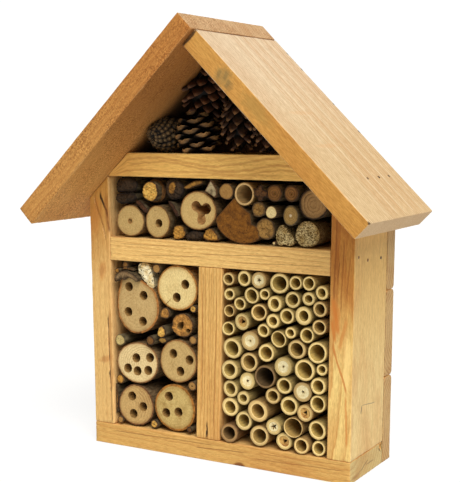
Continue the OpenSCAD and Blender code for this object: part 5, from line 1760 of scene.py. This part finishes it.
def measure_cane(island, least_bore):
    """Centre x and z, radius, bore and the two ends of a CAD cane."""
    low, high = island.min(0), island.max(0)
    x, z = (low[0] + high[0]) / 2, (low[2] + high[2]) / 2
    away = np.hypot(island[:, 0] - x, island[:, 2] - z)
    return x, z, (high[0] - low[0]) / 2, away[away > least_bore].min(), low[1], high[1]


def add_cane_table(parts, faces, table, tint, deep_scale=1.0):
    parts.add(table[:, :3], faces, gl=table[:, :3] * MM, zone=table[:, 3], rad=table[:, 4],
              deep=table[:, 5] * deep_scale, tint=np.full(len(table), tint))


del add_cane
CANE_GROUPS = {"wide_canes": "open", "medium_canes": "open", "narrow_canes": "open",
               "pith_canes": "pith", "plugged_canes": "plugged"}
# x, z and shader of the canes that are coloured one by one
SPECIAL_CANES = [(13.6, 26.3, BROWN), (45.8, 76, DARK), (40, 48, TAN), (71.2, 38.7, TAN)]
for node, kind in CANE_GROUPS.items():
    buckets = {}
    for island in islands(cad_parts[node]):
        x, z, radius, bore, front, back = measure_cane(island, 0.4)
        seed = int(round(abs(x) * 37 + z * 101)) % 99991
        shade = TAN if seed % 3 == 1 else STRAW
        for special_x, special_z, special_shade in SPECIAL_CANES:
            if abs(special_x - x) < 0.6 and abs(special_z - z) < 0.6:
                shade = special_shade
        faces, table = cane_mesh(x, z, radius, bore, front - 0.3, back, kind, seed)
        tint = np.random.default_rng(seed + 5).uniform(0.88, 1.10)
        add_cane_table(buckets.setdefault(shade, MeshParts()), faces, table, tint)
    for j, (shade, parts) in enumerate(sorted(buckets.items())):
        parts.build("%s_%s" % (node, CANE_NAMES[shade]), CANE_SHADERS[shade], "bamboo",
                    None if j else node)

# the hollow stem of the middle bay
x, z, radius, bore, front, back = measure_cane(islands(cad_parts["hollow_stem"])[0], 0.5)
faces, table = cane_mesh(x, z, radius, bore, front - 0.8, back, "open", seed=77, count=64)
parts = MeshParts()
# deep_scale 0.6 makes the painted bore shade set in further; the last colour below is that shade
add_cane_table(parts, faces, table, tint=1.0, deep_scale=0.6)
stem = cane_shader("stem_pale", (170, 140, 98), (212, 186, 140), (236, 214, 172),
                   (176, 156, 122), (70, 58, 42), gain=(0.92, 0.80, 0.58))
parts.build("hollow_stem_wood", stem, "bamboo", "hollow_stem")


# ------------------------------------------------------------------ pine cones
GOLDEN_ANGLE = 2.399963


def cone_shader(name, inner, outer, tip, start=0.15, end=0.75):
    """t runs from a scale's root (0) to its tip (1), and up is 1 on its upper side."""
    inner = srgb(*inner)
    shader = Shader(name)
    position = shader.position()
    along, upper = shader.attribute("t"), shader.attribute("up")
    patches = position.noise(420, rough=0.6)
    grain = position.noise(1500, rough=0.6)
    # inner, the colour at a scale's root, is nearly black: painted shade between the scales
    colour = along.remap(start, end).mix(inner, srgb(*outer))
    colour = colour.cover(along.remap(0.84, 0.96), srgb(*tip))
    # the upper side of each scale is darkened: painted shade
    colour = colour.cover(upper.remap(0.3, 0.8) * 0.45, scale(inner, 0.55))
    colour = colour.multiply(0.7, patches.remap(0.3, 0.7, 0.65, 1.3, "LINEAR").grey())
    colour = colour.multiply(0.5, grain.remap(0.3, 0.7, 0.75, 1.25, "LINEAR").grey())
    colour = colour.multiply(1.0, shader.attribute("tint").grey())
    return shader.surface(colour, patches.remap(0.3, 0.7, 0.48, 0.7), patches + grain,
                          strength=0.5, distance=0.0004, specular=0.22)


def in_gable(points):
    """Keeps points under the roof, on the shelf and in front of the back boards."""
    points = points.copy()
    points[:, 2] = np.maximum(points[:, 2], GABLE_FLOOR_Z + 0.15)
    points[:, 1] = np.clip(points[:, 1], FRONT_Y - 5.0, BACK_Y - 0.5)
    half = (APEX_Z - 0.8 - points[:, 2]) / ROOF_TAN
    over = np.abs(points[:, 0]) > half
    points[over, 0] = np.sign(points[over, 0]) * half[over]
    return points


def cone_axes(axis):
    """Unit axis and two directions across it."""
    axis = np.array(axis, float)
    axis /= np.linalg.norm(axis)
    first = np.cross(axis, [0.0, 0.0, 1.0])
    if np.linalg.norm(first) < 0.25:
        first = np.cross(axis, [1.0, 0.0, 0.0])
    first /= np.linalg.norm(first)
    return axis, first, np.cross(axis, first)


def add_core(parts, stations, ends, first, second, count, tint):
    """A closed spindle; stations are (centre, radius) and ends its two end points."""
    angle = turn(count)
    across = np.cos(angle)[:, None] * first + np.sin(angle)[:, None] * second
    faces = []
    for k in range(1, len(stations)):
        near, far = (k - 1) * count, k * count
        for i in range(count):
            j = (i + 1) % count
            faces.append([near + i, near + j, far + j, far + i])
    total = len(stations) * count
    last = total - count
    faces += [[(i + 1) % count, i, total] for i in range(count)]
    faces += [[last + i, last + (i + 1) % count, total + 1] for i in range(count)]
    rings = [centre + radius * across for centre, radius in stations]
    points = in_gable(np.concatenate(rings + [np.array(ends)]))
    add_scale(parts, points, faces, np.zeros(len(points)), np.zeros(len(points)), tint, 0)


def add_scale(parts, points, faces, along, upper, tint, number):
    """Adds one part; its number moves its texture, so that neighbours differ."""
    parts.add(points, faces, gl=points * MM + [0, 0, number * 0.01], t=along, up=upper,
              tint=np.full(len(points), tint))


def round_plate(root, down, side, outward, size, rings=5, sectors=10):
    """A rounded rhombic plate, thicker at its lower lip."""
    points, faces, along = [], [], []
    for i in range(rings):
        part = i / (rings - 1)
        for j in range(sectors):
            angle = 2 * math.pi * j / sectors
            spread = math.sin(part * math.pi / 2) * (1 - 0.12 * abs(math.sin(2 * angle)))
            lift = math.cos(part * math.pi / 2) * (0.55 + 0.28 * math.cos(angle) * part)
            points.append(root + down * (size * 1.02 * spread * math.cos(angle) + size * 0.25)
                          + side * size * 0.92 * spread * math.sin(angle)
                          + outward * (size * 1.15 * lift - 0.10 * size))
            along.append(1 - part)
            if i:
                near, far, after = (i - 1) * sectors, i * sectors, (j + 1) % sectors
                faces.append([near + j, near + after, far + after, far + j])
    last = (rings - 1) * sectors
    faces += [[last + j, last + (j + 1) % sectors, last + sectors] for j in range(sectors)]
    points.append(root - outward * size * 0.3)
    along.append(0.0)
    return np.array(points), faces, np.array(along)


def tight_cone(node, centre, axis, length, radius, material, scales, seed):
    """A closed cone: an egg-shaped core under overlapping rounded plates."""
    centre = np.array(centre, float)
    axis, first, second = cone_axes(axis)
    rng = np.random.default_rng(seed)
    parts = MeshParts()
    stations = [(centre + axis * (s - 0.5) * length,
                 radius * 0.90 * math.sin(math.pi * s) ** 0.62)
                for s in ((k + 0.5) / 14 for k in range(14))]
    ends = [centre - axis * length / 2, centre + axis * length / 2]
    # the core takes the near-black root colour, darkened further: painted shade under the plates
    add_core(parts, stations, ends, first, second, count=32, tint=0.6)
    for i in range(scales):
        s = 0.5 - 0.5 * math.cos(math.pi * (i + 0.5) / scales)
        turned = i * GOLDEN_ANGLE
        girth = radius * 0.90 * (math.sin(math.pi * s) ** 0.62 - (0.06 if s < 0.05 else 0.0))
        radial = math.cos(turned) * first + math.sin(turned) * second
        root = centre + axis * (s - 0.5) * length + radial * girth
        outward = radial * math.sin(math.pi * s) - axis * math.cos(math.pi * s)
        outward /= np.linalg.norm(outward)
        down = -axis + radial * rng.normal(0, 0.25) - outward * (-axis @ outward)
        reach = np.linalg.norm(down)
        down = down / reach if reach > 1e-6 else first
        size = radius * 0.215 * (0.55 + 0.45 * math.sin(math.pi * s)) * rng.uniform(0.85, 1.12)
        points, faces, along = round_plate(root, down, np.cross(down, outward), outward, size)
        add_scale(parts, in_gable(points), faces, along, np.zeros(len(points)),
                  rng.uniform(0.8, 1.25), i)
    parts.build(node + "_scales", material, "cone_scale", node)


def woody_scale(length, width, thick, pointed, rows=9, cols=6, curl=0.04):
    """One closed scale: points (along, side, up), faces, place along it and a top-side flag."""
    points, along, upper = [], [], []
    for side in (1, -1):
        for u in np.linspace(0, 1, rows):
            wide = width * (0.32 + 0.68 * math.sin(min(1.0, u * 1.25) * math.pi / 2))
            wide *= math.sqrt(max(0.0, 1 - max(0, (u - 0.74) / 0.27) ** 2.2) + 1e-3)
            if pointed:
                wide *= 1.15 - 0.95 * max(0.0, (u - 0.62) / 0.38) ** 1.3
            deep = thick * (0.35 + 0.65 * smoothstep((u - 0.45) / 0.4)) * (1 if u < 0.93 else 0.75)
            for v in np.linspace(-1, 1, cols):
                lip = 0.25 * thick * (1 - v * v) if side > 0 and u > 0.8 else 0
                rise = (curl * length * (u ** 2)
                        + side * deep / 2 * math.sqrt(max(0.0, 1 - 0.85 * v * v))
                        + lip - 0.10 * width * v * v)
                points.append([u * length, v * wide / 2, rise])
                along.append(u)
                upper.append(1.0 if side > 0 else 0.0)

    def top(i, j):
        return i * cols + j

    def under(i, j):
        return rows * cols + i * cols + j

    faces = []
    for i in range(rows - 1):
        for j in range(cols - 1):
            faces.append([top(i, j), top(i, j + 1), top(i + 1, j + 1), top(i + 1, j)])
            faces.append([under(i, j), under(i + 1, j), under(i + 1, j + 1), under(i, j + 1)])
    end = cols - 1
    for i in range(rows - 1):
        faces.append([top(i, 0), top(i + 1, 0), under(i + 1, 0), under(i, 0)])
        faces.append([top(i, end), under(i, end), under(i + 1, end), top(i + 1, end)])
    end = rows - 1
    for j in range(cols - 1):
        faces.append([top(0, j), under(0, j), under(0, j + 1), top(0, j + 1)])
        faces.append([top(end, j), top(end, j + 1), under(end, j + 1), under(end, j)])
    return np.array(points), faces, np.array(along), np.array(upper)


# half outline of an open cone: (place from tip to stalk, share of the full radius)
CONE_PROFILE = [(0.0, 0.25), (0.15, 0.66), (0.4, 0.98), (0.7, 1.0), (1.0, 0.80)]


def open_cone(node, tip, axis, length, radius, material, scales, size, lean, seed, pointed=True):
    """A cone of shield-shaped scales.

    axis points from the tip to the stalk, size is a scale's length, width and thickness, and
    lean its angle towards the tip, in radians, at the tip and at the stalk.
    """
    tip = np.array(tip, float)
    axis, first, second = cone_axes(axis)
    rng = np.random.default_rng(seed)
    parts = MeshParts()
    places, shares = zip(*CONE_PROFILE)
    scale_length, scale_width, scale_thick = size

    def lean_at(s):
        return lean[0] + (lean[1] - lean[0]) * s

    # core under the scales, painted nearly black as the shade beneath them
    stations = []
    for s in ((k + 0.5) / 12 for k in range(12)):
        girth = radius * np.interp(s, places, shares) - scale_length * math.cos(lean_at(s)) + 0.5
        stations.append((tip + axis * (s * length + scale_length * 0.25), max(1.2, girth)))
    ends = [tip + axis * scale_length * 0.2, tip + axis * (length + scale_length * 0.2)]
    add_core(parts, stations, ends, first, second, count=26, tint=0.45)
    # scales spread evenly over the surface
    samples = np.linspace(0, 1, 200)
    area = np.cumsum(np.interp(samples, places, shares))
    area /= area[-1]
    for i in range(scales):
        s = float(np.interp((i + 0.5) / scales, area, samples))
        share = float(np.interp(s, places, shares))
        turned = i * GOLDEN_ANGLE + rng.normal(0, 0.05)
        radial = math.cos(turned) * first + math.sin(turned) * second
        angle = lean_at(s) + rng.normal(0, 0.07)
        outward = radial * math.cos(angle) - axis * math.sin(angle)
        upward = radial * math.sin(angle) + axis * math.cos(angle)
        sideways = np.cross(outward, upward)
        growth = 0.6 + 0.4 * min(1.0, share * 1.2)
        reach = scale_length * growth * rng.uniform(0.92, 1.08)
        end = tip + axis * (s * length) + radial * radius * share
        local, faces, along, upper = woody_scale(
            reach, scale_width * growth * rng.uniform(0.9, 1.12), scale_thick, pointed)
        points = (end + (local[:, :1] - reach) * outward + local[:, 1:2] * sideways
                  + local[:, 2:3] * upward)
        kept = in_gable(points)
        # a scale that would be squashed too far is left out
        if np.abs(kept - points).max() > 4.5:
            continue
        add_scale(parts, kept, faces, along, upper, rng.uniform(0.50, 1.05), i)
    parts.build(node + "_scales", material, "cone_scale", node, angle=48)


# the first colour of each is the near-black painted shade at the scale roots and on the cores
dark_cone = cone_shader("cone_dark", (12, 8, 5), (92, 55, 33), (138, 92, 58), 0.40, 0.80)
tan_cone = cone_shader("cone_tan_edge", (12, 8, 5), (34, 22, 14), (176, 134, 84), 0.4, 0.8)
red_cone = cone_shader("cone_red_edge", (12, 8, 5), (80, 49, 30), (172, 126, 82), 0.42, 0.85)
grey_cone = cone_shader("cone_grey", (18, 13, 8), (84, 66, 42), (146, 124, 84))
tight_cone("closed_cone", (-53.6, FRONT_Y + 15, 265.8), (0.30, 1.0, -0.12), length=38,
           radius=14.8, material=grey_cone, scales=250, seed=7)
open_cone("lying_cone", (-28.0, FRONT_Y + 15, 286.0), (0.16, 0.10, -1.0), length=33,
          radius=19.5, material=tan_cone, scales=32, size=(14.0, 14.5, 2.4), lean=(0.62, 0.16),
          seed=5, pointed=False)
open_cone("upper_cone", (-22, FRONT_Y + 25, 275), (0.15, 0.0, 1.0), length=54, radius=27.5,
          material=dark_cone, scales=112, size=(14.0, 8.4, 2.0), lean=(0.98, 0.78), seed=9)
open_cone("right_cone", (17, FRONT_Y + 13, 250), (0.0, 0.10, 1.0), length=42, radius=17.0,
          material=red_cone, scales=54, size=(16.0, 7.6, 1.9), lean=(1.18, 0.98), seed=13)
open_cone("corner_cone", (43, FRONT_Y + 12, 249), (0.0, 0.10, 1.0), length=30, radius=14.0,
          material=red_cone, scales=36, size=(15.0, 7.0, 1.7), lean=(1.2, 1.0), seed=17)

# ------------------------------------------------------------------ stage, light, camera
FLOOR_HALF, FLOOR_Z = 60, -0.0002  # metres
FLOOR_GLOW = 1.12  # brightness of the floor's own light
FLOOR_GLOW_SHARE = 0.72  # how much of the floor the camera sees as glow


def floor_shader():
    shader = Shader("pale_floor")
    position = shader.node("ShaderNodeTexCoord", output="Object")
    colour = position.noise(3, detail=2).remap(0.3, 0.7).mix((0.86, 0.86, 0.86),
                                                             (0.88, 0.88, 0.875))
    diffuse = shader.node("ShaderNodeBsdfDiffuse", {"Color": colour})
    glow = shader.node("ShaderNodeEmission", {"Color": (1, 1, 1, 1), "Strength": FLOOR_GLOW})
    seen = shader.node("ShaderNodeLightPath", output="Is Camera Ray") * FLOOR_GLOW_SHARE
    mixed = shader.node("ShaderNodeMixShader", {0: seen, 1: diffuse, 2: glow})
    shader.node("ShaderNodeOutputMaterial", {0: mixed}, None)
    return shader.owner


def studio_world():
    """Warm fill light on the house, plain white for the camera."""
    shader = Shader("studio", bpy.data.worlds)
    fill = shader.node("ShaderNodeBackground", {0: (1.0, 0.955, 0.86), 1: 0.36})
    white = shader.node("ShaderNodeBackground", {0: (1.0, 1.0, 1.0), 1: 1.05})
    seen = shader.node("ShaderNodeLightPath", output="Is Camera Ray")
    mixed = shader.node("ShaderNodeMixShader", {0: seen, 1: fill, 2: white})
    shader.node("ShaderNodeOutputWorld", {0: mixed}, None)
    return shader.owner


floor_material = floor_shader()
mesh = bpy.data.meshes.new("floor")
corners = [(-1, -1), (1, -1), (1, 1), (-1, 1)]
mesh.from_pydata([(x * FLOOR_HALF, y * FLOOR_HALF, FLOOR_Z) for x, y in corners], [],
                 [(0, 1, 2, 3)])
floor = bpy.data.objects.new("floor", mesh)
scene = bpy.context.scene
scene.collection.objects.link(floor)
mesh.materials.append(floor_material)
scene.world = studio_world()

key = bpy.data.lights.new("key", "SUN")
key.energy = 2.9
key.angle = math.radians(38)
key.color = (1.0, 0.985, 0.955)
key_light = bpy.data.objects.new("key", key)
towards_key = Vector((0.46, -0.50, 0.74))  # from the house to the light
key_light.location = towards_key * 2
key_light.rotation_euler = towards_key.to_track_quat("Z", "Y").to_euler()
scene.collection.objects.link(key_light)

lens = bpy.data.cameras.new("photo_camera")
lens.sensor_width = 36.0
lens.lens = 82.35
lens.clip_start, lens.clip_end = 0.05, 60.0
camera = bpy.data.objects.new("photo_camera", lens)
scene.collection.objects.link(camera)
camera.location = (0.445803, -0.795243, 0.275603)
target = Vector((-0.014044, 0.009, 0.1762))
aim = target - Vector(camera.location)
camera.rotation_euler = aim.to_track_quat("-Z", "Y").to_euler()
scene.camera = camera
view = scene.view_settings
view.view_transform = "Standard"
view.look = "None"
view.exposure = 0.0
view.gamma = 1.0
